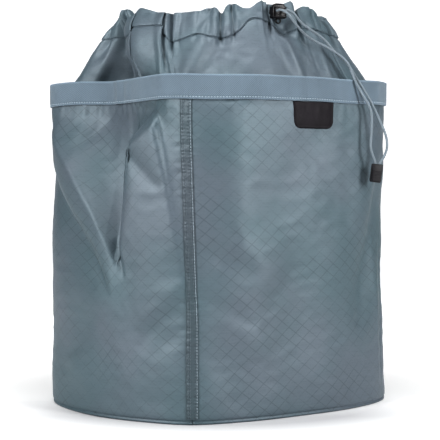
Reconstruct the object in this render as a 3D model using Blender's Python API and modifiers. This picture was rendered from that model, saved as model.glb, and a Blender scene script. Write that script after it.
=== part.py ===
"""Free-standing laundry bag with a gathered collar, drawcord, cord lock and cord end.

Metres, +Z up. The origin is the middle of the base, on the floor. The front, with the
seam strip, looks to -Y, and +X is to the right seen from there. Every sub-part is one
object, and touching pieces keep a small gap so that each stays a solid of its own.
"""

import math

import bmesh
import bpy
import numpy as np
from mathutils import Matrix, Vector

# ---------------------------------------------------------------- driving dimensions
GAP = 0.0003                    # between touching pieces
FABRIC = 0.0009                 # body and base panels (a solid stand-in for thin ripstop)
COLLAR_FABRIC = 0.0008
WEBBING = 0.0014
WEBBING_WIDTH = 0.025
RIM_Z = 0.3455                  # top edge of the webbing band
WAIST = 0.003                   # the walls draw in this much half-way up
DENT_TO_Z = 0.310               # from here up the wall has the rim's outline
DENT_BOW = 1.3                  # above 1, the wall turns to the rim's outline early
BASE_ROUND = 0.003              # the wall's lower edge turns under by this much
SEAM_STRIP_WIDTH = 0.012

# Plan outlines at the floor and at the rim: closed smooth curves through these points,
# from the front seam round by the right side. The rim is pushed in at the front left.
BASE_OUTLINE = [
    (-0.025, -0.1335), (0.032, -0.117), (0.085, -0.088), (0.135, -0.055),
    (0.170, -0.018), (0.181, 0.020), (0.172, 0.062), (0.130, 0.098),
    (0.022, 0.131), (-0.060, 0.124), (-0.125, 0.099), (-0.170, 0.056),
    (-0.1815, 0.008), (-0.168, -0.038), (-0.127, -0.088), (-0.076, -0.119),
]
RIM_OUTLINE = [
    (-0.031, -0.127), (0.030, -0.119), (0.082, -0.094), (0.130, -0.066),
    (0.168, -0.036), (0.181, 0.010), (0.172, 0.062), (0.130, 0.098),
    (0.022, 0.131), (-0.060, 0.124), (-0.125, 0.099), (-0.170, 0.056),
    (-0.1815, 0.008), (-0.152, -0.016), (-0.110, -0.036), (-0.070, -0.098),
]
# Where the wall leaves the floor's outline: (outline parameter, height). The low corner near
# 14.35 is the tip of the dent, and the jump after it is the dent's steep side.
DENT_START = [
    (0.0, 0.100), (10.5, 0.100), (11.5, 0.290), (12.2, 0.290), (12.9, 0.256), (13.3, 0.231),
    (13.75, 0.205), (14.1, 0.176), (14.35, 0.152), (14.7, 0.272), (15.25, 0.290), (16.0, 0.100),
]
FRONT_SEAM = 0
REAR_SEAM = 8
AROUND = 16                     # outline parameter for one full turn

# Collar: a cone from inside the band to an oval mouth with an upright hem.
MOUTH_CENTRE_X = 0.004
MOUTH_HALF_WIDTH = 0.112
MOUTH_HALF_DEPTH = 0.080
COLLAR_FOOT_Z = RIM_Z - WEBBING_WIDTH + 0.002
COLLAR_FOOT_INSET = 0.0018      # from the wall's outside
HEM_Z = 0.397                   # where the upright hem starts
TOP_Z = 0.4235                  # top of the facing's fold over the hem
CHANNEL_DEPTH = 0.0090          # from the collar's outside to the facing's inside
COLLAR_SEAM_RIGHT = 3.4         # outline parameters of the collar's two side seams
COLLAR_SEAM_LEFT = 11.6
COLLAR_TAPE_WIDTH = 0.009
COLLAR_TAPE_TRIM = 0.004        # the tapes stop this far short of foot and hem

# Drawcord and its two eyelets.
CORD_RADIUS = 0.00125
CORD_CLEARANCE = 0.0003
STRAND_OFFSET = 0.0039          # each strand from the lock's middle plane
EXIT_TURN = math.radians(-60.6)  # where on the mouth oval the cord comes out
CORD_Z = 0.4128
LOOP_INSET = 0.0052             # the cord's line inside the channel
LOOP_BEND_FROM = 0.0019         # depth at which it starts to turn
LOOP_POINTS = 44
EYELET_FLANGE_RADIUS = 0.0036
EYELET_TUBE_RADIUS = 0.0022
EYELET_PLATE = 0.0005
TURNED_STEPS = 20

# Cord lock: a barrel with a spring plunger on top and an eye below.
LOCK_STANDOFF = 0.0013          # lock's back face from the collar
LOCK_WIDTH = 0.0162
LOCK_DEPTH = 0.0110
LOCK_ROUND = 0.0028
LOCK_TOP = 0.0047               # heights from the cords' line
LOCK_FLOOR = -0.0061
LOCK_BOTTOM = -0.0073
LOCK_WALL = 0.00145
LOCK_SLIDE = 0.006
PLUNGER_TOP = 0.0081
PLUNGER_FOOT = -0.00275
PLUNGER_TRAVEL = 0.0030
PLUNGER_SLACK = 0.0003
PLUNGER_ROUND = 0.0013
SPRING_POCKET_RADIUS = 0.0016
SPRING_POCKET_TOP = 0.0012
SPRING_RADIUS = 0.0011
SPRING_WIRE_RADIUS = 0.0002
SPRING_TURNS = 5
SPRING_STEPS = 10               # in each turn
EYE_RADIUS = 0.0024
EYE_WIRE_RADIUS = 0.0008

# Cord end: two half shells that clamp both strands.
END_CENTRE = Vector((0.1648, -0.0575, 0.2480))
END_WIDTH = 0.0112
END_HEIGHT = 0.0190
END_DEPTH = 0.0070
END_TILT = math.radians(8)      # its top leans to the right
END_TURN = math.radians(15)     # its face turns to the right
END_STRAND_OFFSET = 0.0028
END_BORE_DEPTH = 0.0110
END_ROUND = 0.0008

# Patch under the band, right of the front seam.
PATCH_FROM = 1.87               # outline parameters of its two ends
PATCH_TO = 2.74
PATCH_HEIGHT = 0.0270
PATCH_THICKNESS = 0.0012

# The strands' routes after the straight stretch in front of the lock.
ROUTE_LEFT = [
    (0.0690, -0.0945, 0.4095), (0.0765, -0.0915, 0.4010), (0.0850, -0.0815, 0.3925),
    (0.0961, -0.0700, 0.3856), (0.1162, -0.0645, 0.3757), (0.1329, -0.0625, 0.3634),
    (0.1403, -0.0640, 0.3468), (0.1480, -0.0635, 0.3317), (0.1580, -0.0625, 0.3137),
    (0.1594, -0.0615, 0.2949), (0.1588, -0.0600, 0.2745),
]
ROUTE_RIGHT = [
    (0.0765, -0.0905, 0.4090), (0.0840, -0.0865, 0.4005), (0.0946, -0.0760, 0.3945),
    (0.1087, -0.0665, 0.3859), (0.1216, -0.0605, 0.3729), (0.1333, -0.0578, 0.3630),
    (0.1445, -0.0605, 0.3448), (0.1591, -0.0600, 0.3209), (0.1730, -0.0585, 0.2915),
    (0.1760, -0.0575, 0.2765), (0.1730, -0.0570, 0.2655),
]
CORD_STEP = 0.0060              # between the tube's own points

COLUMNS = 30                    # across half of the bag
WALL_ROWS = [0.0, 0.003, 0.009, 0.060, 0.100, 0.150, 0.200, 0.250, 0.285, DENT_TO_Z, RIM_Z - 0.0005]
COLLAR_ROWS = 3                 # from the collar's foot to its hem

SLATE_FABRIC = (0.162, 0.216, 0.258)
WEBBING_COLOUR = (0.205, 0.283, 0.352)
CORD_COLOUR = (0.41, 0.49, 0.56)
BLACK_PLASTIC = (0.010, 0.010, 0.013)
PATCH_COLOUR = (0.020, 0.014, 0.015)
DARK_METAL = (0.12, 0.12, 0.13)
STEEL = (0.55, 0.55, 0.57)


# ------------------------------------------------------------------ scene and helpers
def clear_scene():
    for existing in list(bpy.data.objects):
        bpy.data.objects.remove(existing, do_unlink=True)


def new_collection(name):
    collection = bpy.data.collections.new(name)
    bpy.context.scene.collection.children.link(collection)
    return collection


clear_scene()
PARTS = new_collection("laundry_bag")
CUTTERS = new_collection("cutters")


def make_material(name, colour, roughness, metallic=0.0):
    material = bpy.data.materials.new(name)
    material.use_nodes = True
    shader = material.node_tree.nodes["Principled BSDF"]
    shader.inputs["Base Color"].default_value = (*colour, 1.0)
    shader.inputs["Roughness"].default_value = roughness
    shader.inputs["Metallic"].default_value = metallic
    material.diffuse_color = (*colour, 1.0)
    return material


def add_object(name, data, frame=Matrix.Identity(4)):
    thing = bpy.data.objects.new(name, data)
    PARTS.objects.link(thing)
    thing.matrix_world = frame
    return thing


def paint(thing, colour, roughness, metallic=0.0):
    thing.data.materials.clear()
    thing.data.materials.append(make_material(thing.name + "_finish", colour, roughness, metallic))
    return thing


def mesh_object(name, bm, frame=Matrix.Identity(4)):
    mesh = bpy.data.meshes.new(name)
    bm.to_mesh(mesh)
    bm.free()
    return add_object(name, mesh, frame)


def solidify(thing, thickness):
    """Thicken a sheet away from the side that its faces look to."""
    modifier = thing.modifiers.new("thickness", "SOLIDIFY")
    modifier.thickness = thickness
    modifier.offset = -1.0
    modifier.use_even_offset = True
    return thing


def bevel(thing, width, segments=2):
    modifier = thing.modifiers.new("rounding", "BEVEL")
    modifier.width = width
    modifier.segments = segments
    modifier.limit_method = "ANGLE"
    modifier.angle_limit = math.radians(40)
    return thing


def combine(thing, other, operation):
    """Join or cut a piece with another object, which then only serves as the tool."""
    PARTS.objects.unlink(other)
    CUTTERS.objects.link(other)
    other.hide_render = True
    other.display_type = "WIRE"
    modifier = thing.modifiers.new(operation.lower(), "BOOLEAN")
    modifier.operation = operation
    modifier.solver = "EXACT"
    modifier.object = other


def cut(thing, cutter):
    combine(thing, cutter, "DIFFERENCE")


def block(name, size, centre, frame):
    """A box of the given size, its middle at centre in the given frame."""
    bm = bmesh.new()
    bmesh.ops.create_cube(bm, size=1.0)
    bmesh.ops.scale(bm, vec=size, verts=bm.verts)
    bmesh.ops.translate(bm, vec=centre, verts=bm.verts)
    return mesh_object(name, bm, frame)


def rod(name, radius, start, end, frame, steps=16):
    """A cylinder between two points of the given frame."""
    start, end = Vector(start), Vector(end)
    axis = end - start
    turn = Vector((0, 0, 1)).rotation_difference(axis).to_matrix().to_4x4()
    place = Matrix.Translation((start + end) / 2) @ turn
    bm = bmesh.new()
    bmesh.ops.create_cone(
        bm, cap_ends=True, segments=steps, radius1=radius, radius2=radius, depth=axis.length, matrix=place
    )
    return mesh_object(name, bm, frame)


def turned(name, profile, frame):
    """A closed profile of (radius, height) pairs, turned about the frame's Z axis."""
    bm = bmesh.new()
    ring = [bm.verts.new((radius, 0.0, height)) for radius, height in profile]
    for here, following in zip(ring, ring[1:] + ring[:1]):
        bm.edges.new((here, following))
    thing = mesh_object(name, bm, frame)
    screw = thing.modifiers.new("turn", "SCREW")
    screw.steps = TURNED_STEPS
    screw.render_steps = TURNED_STEPS
    screw.use_merge_vertices = True
    screw.merge_threshold = 0.00001
    screw.use_normal_flip = True
    return thing


def smooth_points(route, step):
    """Points every step along a Catmull-Rom curve through the route."""
    points = [Vector(p) for p in route]
    ends = [2 * points[0] - points[1]] + points + [2 * points[-1] - points[-2]]
    fine = []
    for a, b, c, d in zip(ends, ends[1:], ends[2:], ends[3:]):
        fine += [catmull_rom(a, b, c, d, i / 24) for i in range(24)]
    fine.append(points[-1])
    lengths = np.cumsum([0.0] + [(q - p).length for p, q in zip(fine, fine[1:])])
    count = max(2, round(lengths[-1] / step))
    wanted = np.linspace(0.0, lengths[-1], count + 1)
    columns = [np.interp(wanted, lengths, [p[axis] for p in fine]) for axis in range(3)]
    return [Vector(p) for p in zip(*columns)]


def catmull_rom(a, b, c, d, u):
    return 0.5 * (2 * b + (c - a) * u + (2 * a - 5 * b + 4 * c - d) * u**2 + (3 * b - a - 3 * c + d) * u**3)


def tube(name, points, radius, resolution=2, frame=Matrix.Identity(4)):
    """A round cord or wire along the points, with closed ends."""
    curve = bpy.data.curves.new(name, "CURVE")
    curve.dimensions = "3D"
    curve.bevel_depth = radius
    curve.bevel_resolution = resolution
    curve.use_fill_caps = True
    spline = curve.splines.new("POLY")
    spline.points.add(len(points) - 1)
    for slot, point in zip(spline.points, points):
        slot.co = (*point, 1.0)
    return add_object(name, curve, frame)


def sheet(name, rows, columns, point, thickness, closed=False):
    """A grid of point(row, column), thickened away from its outer side."""
    bm = bmesh.new()
    grid = [[bm.verts.new(point(row, column)) for column in columns] for row in rows]
    for lower, upper in zip(grid, grid[1:]):
        pairs = list(zip(lower, lower[1:], upper, upper[1:]))
        if closed:
            pairs.append((lower[-1], lower[0], upper[-1], upper[0]))
        for a, b, d, c in pairs:
            bm.faces.new((a, b, c, d))
    return solidify(mesh_object(name, bm), thickness)


# ------------------------------------------------------------------------- the shape
def outline_point(outline, turn):
    index = math.floor(turn)
    a, b, c, d = (Vector(outline[(index + k) % AROUND]) for k in (-1, 0, 1, 2))
    return catmull_rom(a, b, c, d, turn - index)


def rim_share(turn, z):
    """How far the wall has changed from the floor's outline to the rim's, 0 to 1."""
    start = np.interp(turn % AROUND, *zip(*DENT_START))
    rise = min(max((z - start) / (DENT_TO_Z - start), 0.0), 1.0)
    return 1 - (1 - rise) ** DENT_BOW


def wall_plan(turn, z):
    """Plan position of the body wall's outside at a height."""
    share = rim_share(turn, z)
    base = outline_point(BASE_OUTLINE, turn)
    rim = outline_point(RIM_OUTLINE, turn)
    drawn_in = 1 - WAIST / 0.18 * math.sin(math.pi * min(z / RIM_Z, 1.0))
    return base.lerp(rim, share) * drawn_in


def offset_plan(plan, turn, offset):
    """A point of a plan curve, moved outwards by offset."""
    tangent = plan(turn + 0.02) - plan(turn - 0.02)
    outward = Vector((tangent.y, -tangent.x)).normalized()
    return plan(turn) + outward * offset


def wall_point(turn, z, offset=0.0):
    x, y = offset_plan(lambda t: wall_plan(t, z), turn, offset)
    return Vector((x, y, z))


def mouth_plan(turn):
    """The mouth oval, matched by direction to the rim's outline."""
    rim = outline_point(RIM_OUTLINE, turn)
    angle = math.atan2(rim.y / 0.128, rim.x / 0.182)
    return mouth_at(angle)


def mouth_at(angle):
    return Vector((MOUTH_CENTRE_X + MOUTH_HALF_WIDTH * math.cos(angle), MOUTH_HALF_DEPTH * math.sin(angle)))


def mouth_point(turn, z, offset=0.0):
    x, y = offset_plan(mouth_plan, turn, offset)
    return Vector((x, y, z))


def collar_point(turn, z, offset=0.0):
    """The collar's outside: a cone from its foot inside the band, then the upright hem."""
    if z > HEM_Z:
        return mouth_point(turn, z, offset)
    foot = wall_point(turn, COLLAR_FOOT_Z, offset - COLLAR_FOOT_INSET)
    hem = mouth_point(turn, HEM_Z, offset)
    return foot.lerp(hem, (z - COLLAR_FOOT_Z) / (HEM_Z - COLLAR_FOOT_Z))


def spread(start, end, count, trim=0.0):
    """Evenly spaced values, the first and last moved in by trim."""
    return list(np.linspace(start + trim, end - trim, count + 1))


def arc_share(width, near):
    """Outline parameter covered by a width of wall next to a parameter."""
    per_unit = (wall_plan(near + 0.25, 0.2) - wall_plan(near - 0.25, 0.2)).length / 0.5
    return width / per_unit


SEAM_TRIM = arc_share(GAP, FRONT_SEAM)
COLLAR_HALVES = (
    ("back", COLLAR_SEAM_RIGHT, COLLAR_SEAM_LEFT),
    ("front", COLLAR_SEAM_LEFT, COLLAR_SEAM_RIGHT + AROUND),
)


# ---------------------------------------------------------------------- fabric pieces
def body_wall(row_z, turn):
    turned_under = BASE_ROUND * (1 - min(row_z / WALL_ROWS[2], 1.0)) ** 2
    return wall_point(turn, row_z, -turned_under)


def build_body():
    for name, start, end in (
        ("body_panel_right", FRONT_SEAM, REAR_SEAM),
        ("body_panel_left", REAR_SEAM, AROUND),
    ):
        panel = sheet(name, WALL_ROWS, spread(start, end, COLUMNS, SEAM_TRIM), body_wall, FABRIC)
        paint(panel, SLATE_FABRIC, 0.62)
    for name, seam in (("front_seam_strip", FRONT_SEAM), ("rear_seam_strip", REAR_SEAM)):
        half = arc_share(SEAM_STRIP_WIDTH, seam) / 2
        columns = spread(seam - half, seam + half, 4)
        rows = [0.012] + WALL_ROWS[3:-1] + [RIM_Z - WEBBING_WIDTH - GAP]
        strip = sheet(
            name, rows, columns, lambda z, turn: wall_point(turn, z, 2 * GAP + COLLAR_FABRIC), COLLAR_FABRIC
        )
        paint(strip, SLATE_FABRIC, 0.6)


def build_base():
    inset = BASE_ROUND + FABRIC + 2 * GAP
    turns = spread(0, AROUND, 2 * COLUMNS)[:-1]
    bm = bmesh.new()
    rim = [bm.verts.new(wall_point(turn, 0.0, -inset) + Vector((0, 0, FABRIC))) for turn in turns]
    bm.faces.new(rim)
    paint(solidify(mesh_object("base_panel", bm), FABRIC), SLATE_FABRIC, 0.62)
    foot = FABRIC + GAP
    binding = sheet(
        "base_seam_binding",
        [foot, foot + 0.005],
        turns,
        lambda z, turn: wall_point(turn, 0.0, -inset - GAP) + Vector((0, 0, z)),
        0.0014,
        closed=True,
    )
    paint(binding, WEBBING_COLOUR, 0.75)


def build_rim():
    turns = spread(0, AROUND, 2 * COLUMNS)[:-1]
    band = sheet(
        "rim_webbing",
        [RIM_Z - WEBBING_WIDTH, RIM_Z],
        turns,
        lambda z, turn: wall_point(turn, z, GAP + WEBBING),
        WEBBING,
        closed=True,
    )
    paint(band, WEBBING_COLOUR, 0.78)
    tape = sheet(
        "rim_inner_tape",
        [DENT_TO_Z + GAP, COLLAR_FOOT_Z - 3 * GAP],
        turns,
        lambda z, turn: wall_point(turn, z, -FABRIC - GAP),
        COLLAR_FABRIC,
        closed=True,
    )
    paint(tape, WEBBING_COLOUR, 0.78)


def build_collar():
    hem_top = TOP_Z - COLLAR_FABRIC - GAP
    rows = spread(COLLAR_FOOT_Z, HEM_Z, COLLAR_ROWS) + spread(HEM_Z, hem_top, 2)[1:]
    for side, start, end in COLLAR_HALVES:
        panel = sheet(
            "collar_" + side + "_panel",
            rows,
            spread(start, end, COLUMNS, SEAM_TRIM),
            lambda z, turn: collar_point(turn, z),
            COLLAR_FABRIC,
        )
        paint(panel, SLATE_FABRIC, 0.62)
        if side == "front":
            for hole in exit_holes():
                cut(panel, hole)
    for side, seam in (("right", COLLAR_SEAM_RIGHT), ("left", COLLAR_SEAM_LEFT)):
        half = arc_share(COLLAR_TAPE_WIDTH, seam) / 2
        tape = sheet(
            "collar_seam_tape_" + side,
            spread(COLLAR_FOOT_Z, HEM_Z, COLLAR_ROWS, COLLAR_TAPE_TRIM),
            spread(seam - half, seam + half, 2),
            lambda z, turn: collar_point(turn, z, -COLLAR_FABRIC - 2 * GAP),
            COLLAR_FABRIC,
        )
        paint(tape, WEBBING_COLOUR, 0.78)


def build_channel():
    """The hem's facing: out under the collar's hem, up inside it and back over its top."""
    outer = -COLLAR_FABRIC - GAP
    low, high = HEM_Z + 0.001, TOP_Z - COLLAR_FABRIC
    section = [(outer, low), (-CHANNEL_DEPTH, low), (-CHANNEL_DEPTH, high), (0.0, high)]
    for side, start, end in COLLAR_HALVES:
        facing = sheet(
            "channel_facing_" + side,
            section,
            spread(start, end, COLUMNS, SEAM_TRIM),
            lambda corner, turn: mouth_point(turn, corner[1], corner[0]),
            COLLAR_FABRIC,
        )
        paint(facing, SLATE_FABRIC, 0.62)


def build_patch():
    top = RIM_Z - WEBBING_WIDTH - GAP
    patch = sheet(
        "blank_patch",
        [top - PATCH_HEIGHT, top - PATCH_HEIGHT / 2, DENT_TO_Z, top],
        spread(PATCH_FROM, PATCH_TO, 8),
        lambda z, turn: wall_point(turn, z, GAP + PATCH_THICKNESS),
        PATCH_THICKNESS,
    )
    paint(patch, PATCH_COLOUR, 0.5)


# ------------------------------------------------------- the place where the cord comes out
def hem_frame(angle):
    """On the hem at the cord's height: local Y runs outwards, local X to the left, Z up."""
    x, y = mouth_at(angle)
    outward = Vector((math.cos(angle) / MOUTH_HALF_WIDTH, math.sin(angle) / MOUTH_HALF_DEPTH, 0.0))
    outward.normalize()
    frame = Matrix.Identity(4)
    frame.col[0].xyz = (outward.y, -outward.x, 0.0)
    frame.col[1].xyz = outward
    frame.translation = (x, y, CORD_Z)
    return frame


EXIT = hem_frame(EXIT_TURN)
SIDES = (("left", 1), ("right", -1))


def exit_point(side, outward):
    return EXIT @ Vector((side * STRAND_OFFSET, outward, 0.0))


def strand_rods(name, radius, reach, frame):
    """A pair of rods along both strands' lines, reaching this far each way."""
    rods = []
    for side_name, side in SIDES:
        x = side * STRAND_OFFSET
        rods.append(rod(name + "_" + side_name, radius, (x, -reach, 0), (x, reach, 0), frame))
    return rods


def exit_holes():
    return strand_rods("exit_hole", EYELET_TUBE_RADIUS + GAP, 3 * COLLAR_FABRIC, EXIT)


def build_eyelets():
    bore = CORD_RADIUS + CORD_CLEARANCE
    inner_end = -COLLAR_FABRIC - 2 * GAP - EYELET_PLATE - GAP
    shape = [
        (bore, inner_end), (EYELET_TUBE_RADIUS, inner_end), (EYELET_TUBE_RADIUS, GAP),
        (EYELET_FLANGE_RADIUS, GAP), (EYELET_FLANGE_RADIUS - 0.0003, GAP + EYELET_PLATE),
        (bore, GAP + EYELET_PLATE),
    ]
    washer = -COLLAR_FABRIC - 2 * GAP
    washer_shape = [
        (EYELET_TUBE_RADIUS + GAP, washer - EYELET_PLATE), (EYELET_FLANGE_RADIUS, washer - EYELET_PLATE),
        (EYELET_FLANGE_RADIUS, washer), (EYELET_TUBE_RADIUS + GAP, washer),
    ]
    outwards = Matrix.Rotation(math.radians(-90), 4, "X")
    for name, side in SIDES:
        place = EXIT @ Matrix.Translation((side * STRAND_OFFSET, 0, 0)) @ outwards
        paint(turned("eyelet_" + name, shape, place), DARK_METAL, 0.4, 0.9)
        paint(turned("eyelet_washer_" + name, washer_shape, place), DARK_METAL, 0.45, 0.9)


LOCK = EXIT @ Matrix.Translation((0, LOCK_STANDOFF + LOCK_DEPTH / 2, 0))
LOCK_BORE_RADIUS = CORD_RADIUS + CORD_CLEARANCE


def lock_block(name, width, depth, low, high):
    return block(name, (width, depth, high - low), (0, 0, (low + high) / 2), LOCK)


def build_barrel():
    barrel = lock_block("lock_body", LOCK_WIDTH, LOCK_DEPTH, LOCK_BOTTOM, LOCK_TOP)
    bevel(barrel, LOCK_ROUND, 3)
    cavity = lock_block(
        "lock_cavity", LOCK_WIDTH - 2 * LOCK_WALL, LOCK_DEPTH - 2 * LOCK_WALL, LOCK_FLOOR, 3 * LOCK_TOP
    )
    cut(barrel, bevel(cavity, PLUNGER_ROUND))
    for bore in strand_rods("lock_bore", LOCK_BORE_RADIUS, LOCK_DEPTH, LOCK):
        cut(barrel, bore)
    combine(barrel, eye_ring(), "UNION")
    paint(barrel, BLACK_PLASTIC, 0.35)


def eye_ring():
    """The ring below the lock, its hole facing outwards."""
    steps = range(10)
    profile = [
        (
            EYE_RADIUS + EYE_WIRE_RADIUS * math.cos(2 * math.pi * step / len(steps)),
            EYE_WIRE_RADIUS * math.sin(2 * math.pi * step / len(steps)),
        )
        for step in steps
    ]
    below = Matrix.Translation((0, 0, LOCK_BOTTOM - EYE_RADIUS + EYE_WIRE_RADIUS / 4))
    return turned("lock_eye", profile, LOCK @ below @ Matrix.Rotation(math.radians(90), 4, "X"))


def build_plunger():
    wall = LOCK_WALL + PLUNGER_SLACK
    plunger = lock_block(
        "lock_plunger", LOCK_WIDTH - 2 * wall, LOCK_DEPTH - 2 * wall, PLUNGER_FOOT, PLUNGER_TOP
    )
    bevel(plunger, PLUNGER_ROUND)
    for name, side in SIDES:
        slot = lock_block(
            "plunger_slot_" + name,
            2 * LOCK_BORE_RADIUS,
            LOCK_DEPTH,
            -LOCK_BORE_RADIUS,
            LOCK_BORE_RADIUS + PLUNGER_TRAVEL,
        )
        slot.data.transform(Matrix.Translation((side * STRAND_OFFSET, 0, 0)))
        cut(plunger, slot)
    pocket_start = (0, 0, 2 * PLUNGER_FOOT)
    pocket_end = (0, 0, SPRING_POCKET_TOP)
    cut(plunger, rod("spring_pocket", SPRING_POCKET_RADIUS, pocket_start, pocket_end, LOCK))
    paint(plunger, BLACK_PLASTIC, 0.35)


def build_spring():
    low = LOCK_FLOOR + GAP + SPRING_WIRE_RADIUS
    high = SPRING_POCKET_TOP - GAP - SPRING_WIRE_RADIUS
    points = []
    for share in np.linspace(0, 1, SPRING_TURNS * SPRING_STEPS + 1):
        angle = 2 * math.pi * SPRING_TURNS * share
        across, deep = SPRING_RADIUS * math.cos(angle), SPRING_RADIUS * math.sin(angle)
        points.append(Vector((across, deep, low + (high - low) * share)))
    spring = tube("lock_spring", points, SPRING_WIRE_RADIUS, resolution=1, frame=LOCK)
    paint(spring, STEEL, 0.3, 1.0)


# ------------------------------------------------------------------------------ cords
def end_frame():
    turn = Matrix.Rotation(END_TURN, 4, "Z") @ Matrix.Rotation(END_TILT, 4, "Y")
    return Matrix.Translation(END_CENTRE) @ turn


END = end_frame()


def strand_route(side, route):
    """Out of the eyelet, straight through the lock, along the route and into the cord end."""
    straight = LOCK_STANDOFF + LOCK_DEPTH + LOCK_SLIDE
    start = [exit_point(side, share * straight) for share in (0.0, 0.35, 0.7, 1.0, 1.1)]
    mouth = END_HEIGHT / 2
    heights = (mouth + 0.002, mouth - 0.004, mouth - END_BORE_DEPTH + GAP)
    return start + list(route) + [END @ Vector((-side * END_STRAND_OFFSET, 0, z)) for z in heights]


def build_cords():
    for (name, side), route in zip(SIDES, (ROUTE_LEFT, ROUTE_RIGHT)):
        points = smooth_points(strand_route(side, route), CORD_STEP)
        paint(tube("drawcord_tail_" + name, points, CORD_RADIUS), CORD_COLOUR, 0.7)
    loop = loop_end(1) + loop_round_mouth() + loop_end(-1)[::-1]
    paint(tube("drawcord_loop", loop, CORD_RADIUS), CORD_COLOUR, 0.7)


def loop_end(side):
    """A quarter turn from an eyelet's bore into the channel."""
    radius = LOOP_INSET - LOOP_BEND_FROM
    points = [exit_point(side, -GAP)]
    for angle in np.radians(spread(0, 90, 4)):
        sideways = STRAND_OFFSET + radius * (1 - math.cos(angle))
        points.append(EXIT @ Vector((side * sideways, -LOOP_BEND_FROM - radius * math.sin(angle), 0)))
    return points


def loop_round_mouth():
    """From left of the left eyelet once round the mouth to right of the right one."""
    clear = 1.5 * (STRAND_OFFSET + LOOP_INSET) / MOUTH_HALF_WIDTH
    angles = np.linspace(EXIT_TURN - clear, EXIT_TURN + clear - 2 * math.pi, LOOP_POINTS)
    return [hem_frame(angle) @ Vector((0, -LOOP_INSET, 0)) for angle in angles]


def build_cord_end():
    half = (END_DEPTH - GAP) / 2
    floor = END_HEIGHT / 2 - END_BORE_DEPTH
    for name, face in (("front", -1), ("back", 1)):
        middle = (0, face * (GAP + half) / 2, 0)
        shell = block("cord_end_" + name + "_shell", (END_WIDTH, half, END_HEIGHT), middle, END)
        bevel(shell, END_ROUND)
        for side in (-END_STRAND_OFFSET, END_STRAND_OFFSET):
            bore = rod(
                "cord_end_bore", CORD_RADIUS + CORD_CLEARANCE, (side, 0, floor), (side, 0, END_HEIGHT), END
            )
            cut(shell, bore)
        paint(shell, BLACK_PLASTIC, 0.5)


build_body()
build_base()
build_rim()
build_collar()
build_channel()
build_patch()
build_eyelets()
build_barrel()
build_plunger()
build_spring()
build_cords()
build_cord_end()
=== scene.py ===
"""The looks of the laundry bag: cloth, webbing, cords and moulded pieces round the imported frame."""

import math

import bmesh
import bpy
import numpy as np
from mathutils import Matrix, Vector


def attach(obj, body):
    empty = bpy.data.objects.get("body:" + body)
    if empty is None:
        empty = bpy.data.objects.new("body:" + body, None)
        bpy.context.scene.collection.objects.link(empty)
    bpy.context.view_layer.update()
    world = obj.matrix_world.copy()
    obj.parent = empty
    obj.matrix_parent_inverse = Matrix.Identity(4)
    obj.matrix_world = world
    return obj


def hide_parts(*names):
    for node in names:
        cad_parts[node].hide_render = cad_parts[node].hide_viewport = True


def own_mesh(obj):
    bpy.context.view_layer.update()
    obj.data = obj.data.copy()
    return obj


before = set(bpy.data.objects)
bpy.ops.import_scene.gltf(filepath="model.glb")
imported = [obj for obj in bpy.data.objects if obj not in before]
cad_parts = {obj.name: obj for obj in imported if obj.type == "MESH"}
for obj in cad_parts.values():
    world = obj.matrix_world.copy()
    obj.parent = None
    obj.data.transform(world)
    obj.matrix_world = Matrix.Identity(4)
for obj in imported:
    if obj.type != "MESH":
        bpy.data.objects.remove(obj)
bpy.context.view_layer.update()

# ------------------------------------------------- the bag's shape, as the CAD part has it
GAP = 0.0003
RIM_Z = 0.3455
WEBBING_WIDTH = 0.025
WAIST = 0.0004                  # how far the wall draws in at mid height
PLAN_HALF_WIDTH = 0.18          # by which the waist is scaled
DENT_TO_Z = 0.310
DENT_BOW = 1.3
BASE_ROUND = 0.0012             # the wall's foot turns in by this much
BASE_ROUND_HEIGHT = 0.009
CORNER_OUT = 0.0045             # the lower corner at the right stands out by this much
CORNER_TURN = 5.0
AROUND = 16
BASE_OUTLINE = np.array([
    (-0.025, -0.1335), (0.032, -0.117), (0.085, -0.088), (0.135, -0.055),
    (0.170, -0.018), (0.181, 0.020), (0.172, 0.062), (0.130, 0.098),
    (0.022, 0.131), (-0.060, 0.124), (-0.125, 0.099), (-0.170, 0.056),
    (-0.1815, 0.008), (-0.168, -0.038), (-0.127, -0.088), (-0.076, -0.119),
])
RIM_OUTLINE = np.array([
    (-0.031, -0.127), (0.030, -0.119), (0.082, -0.094), (0.130, -0.066),
    (0.168, -0.036), (0.181, 0.010), (0.172, 0.062), (0.130, 0.098),
    (0.022, 0.131), (-0.060, 0.124), (-0.125, 0.099), (-0.170, 0.056),
    (-0.1815, 0.008), (-0.152, -0.016), (-0.110, -0.036), (-0.070, -0.098),
])
DENT_START = np.array([
    (0.0, 0.100), (10.5, 0.100), (11.5, 0.290), (12.2, 0.292), (12.55, 0.285), (13.27, 0.2555),
    (13.6, 0.232), (13.97, 0.205), (14.26, 0.178), (14.47, 0.154), (14.62, 0.272),
    (15.25, 0.296), (16.0, 0.100),
])
DENT_CREASE = 0.012             # rounding of the dent's edge, as a share of its rise
MOUTH_CENTRE_X = 0.004
MOUTH_HALF_WIDTH = 0.112
MOUTH_HALF_DEPTH = 0.080
COLLAR_FOOT_Z = RIM_Z - WEBBING_WIDTH + 0.002
COLLAR_FOOT_INSET = 0.0018
COLLAR_SEAM_RIGHT = 3.4
COLLAR_SEAM_LEFT = 11.6
CORD_RADIUS = 0.00125
STRAND_OFFSET = 0.0039
EXIT_TURN = math.radians(-60.6)
CORD_Z = 0.4128
LOCK_STANDOFF = 0.0013
LOCK_WIDTH = 0.0162
LOCK_DEPTH = 0.0110
LOCK_TOP = 0.0047
LOCK_FLOOR = -0.0061
LOCK_BOTTOM = -0.0073
LOCK_WALL = 0.00145
LOCK_SLIDE = 0.006
PLUNGER_TOP = 0.0081
PLUNGER_FOOT = -0.00275
SPRING_POCKET_RADIUS = 0.0016
SPRING_POCKET_TOP = 0.0012
SPRING_RADIUS = 0.0011
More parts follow.
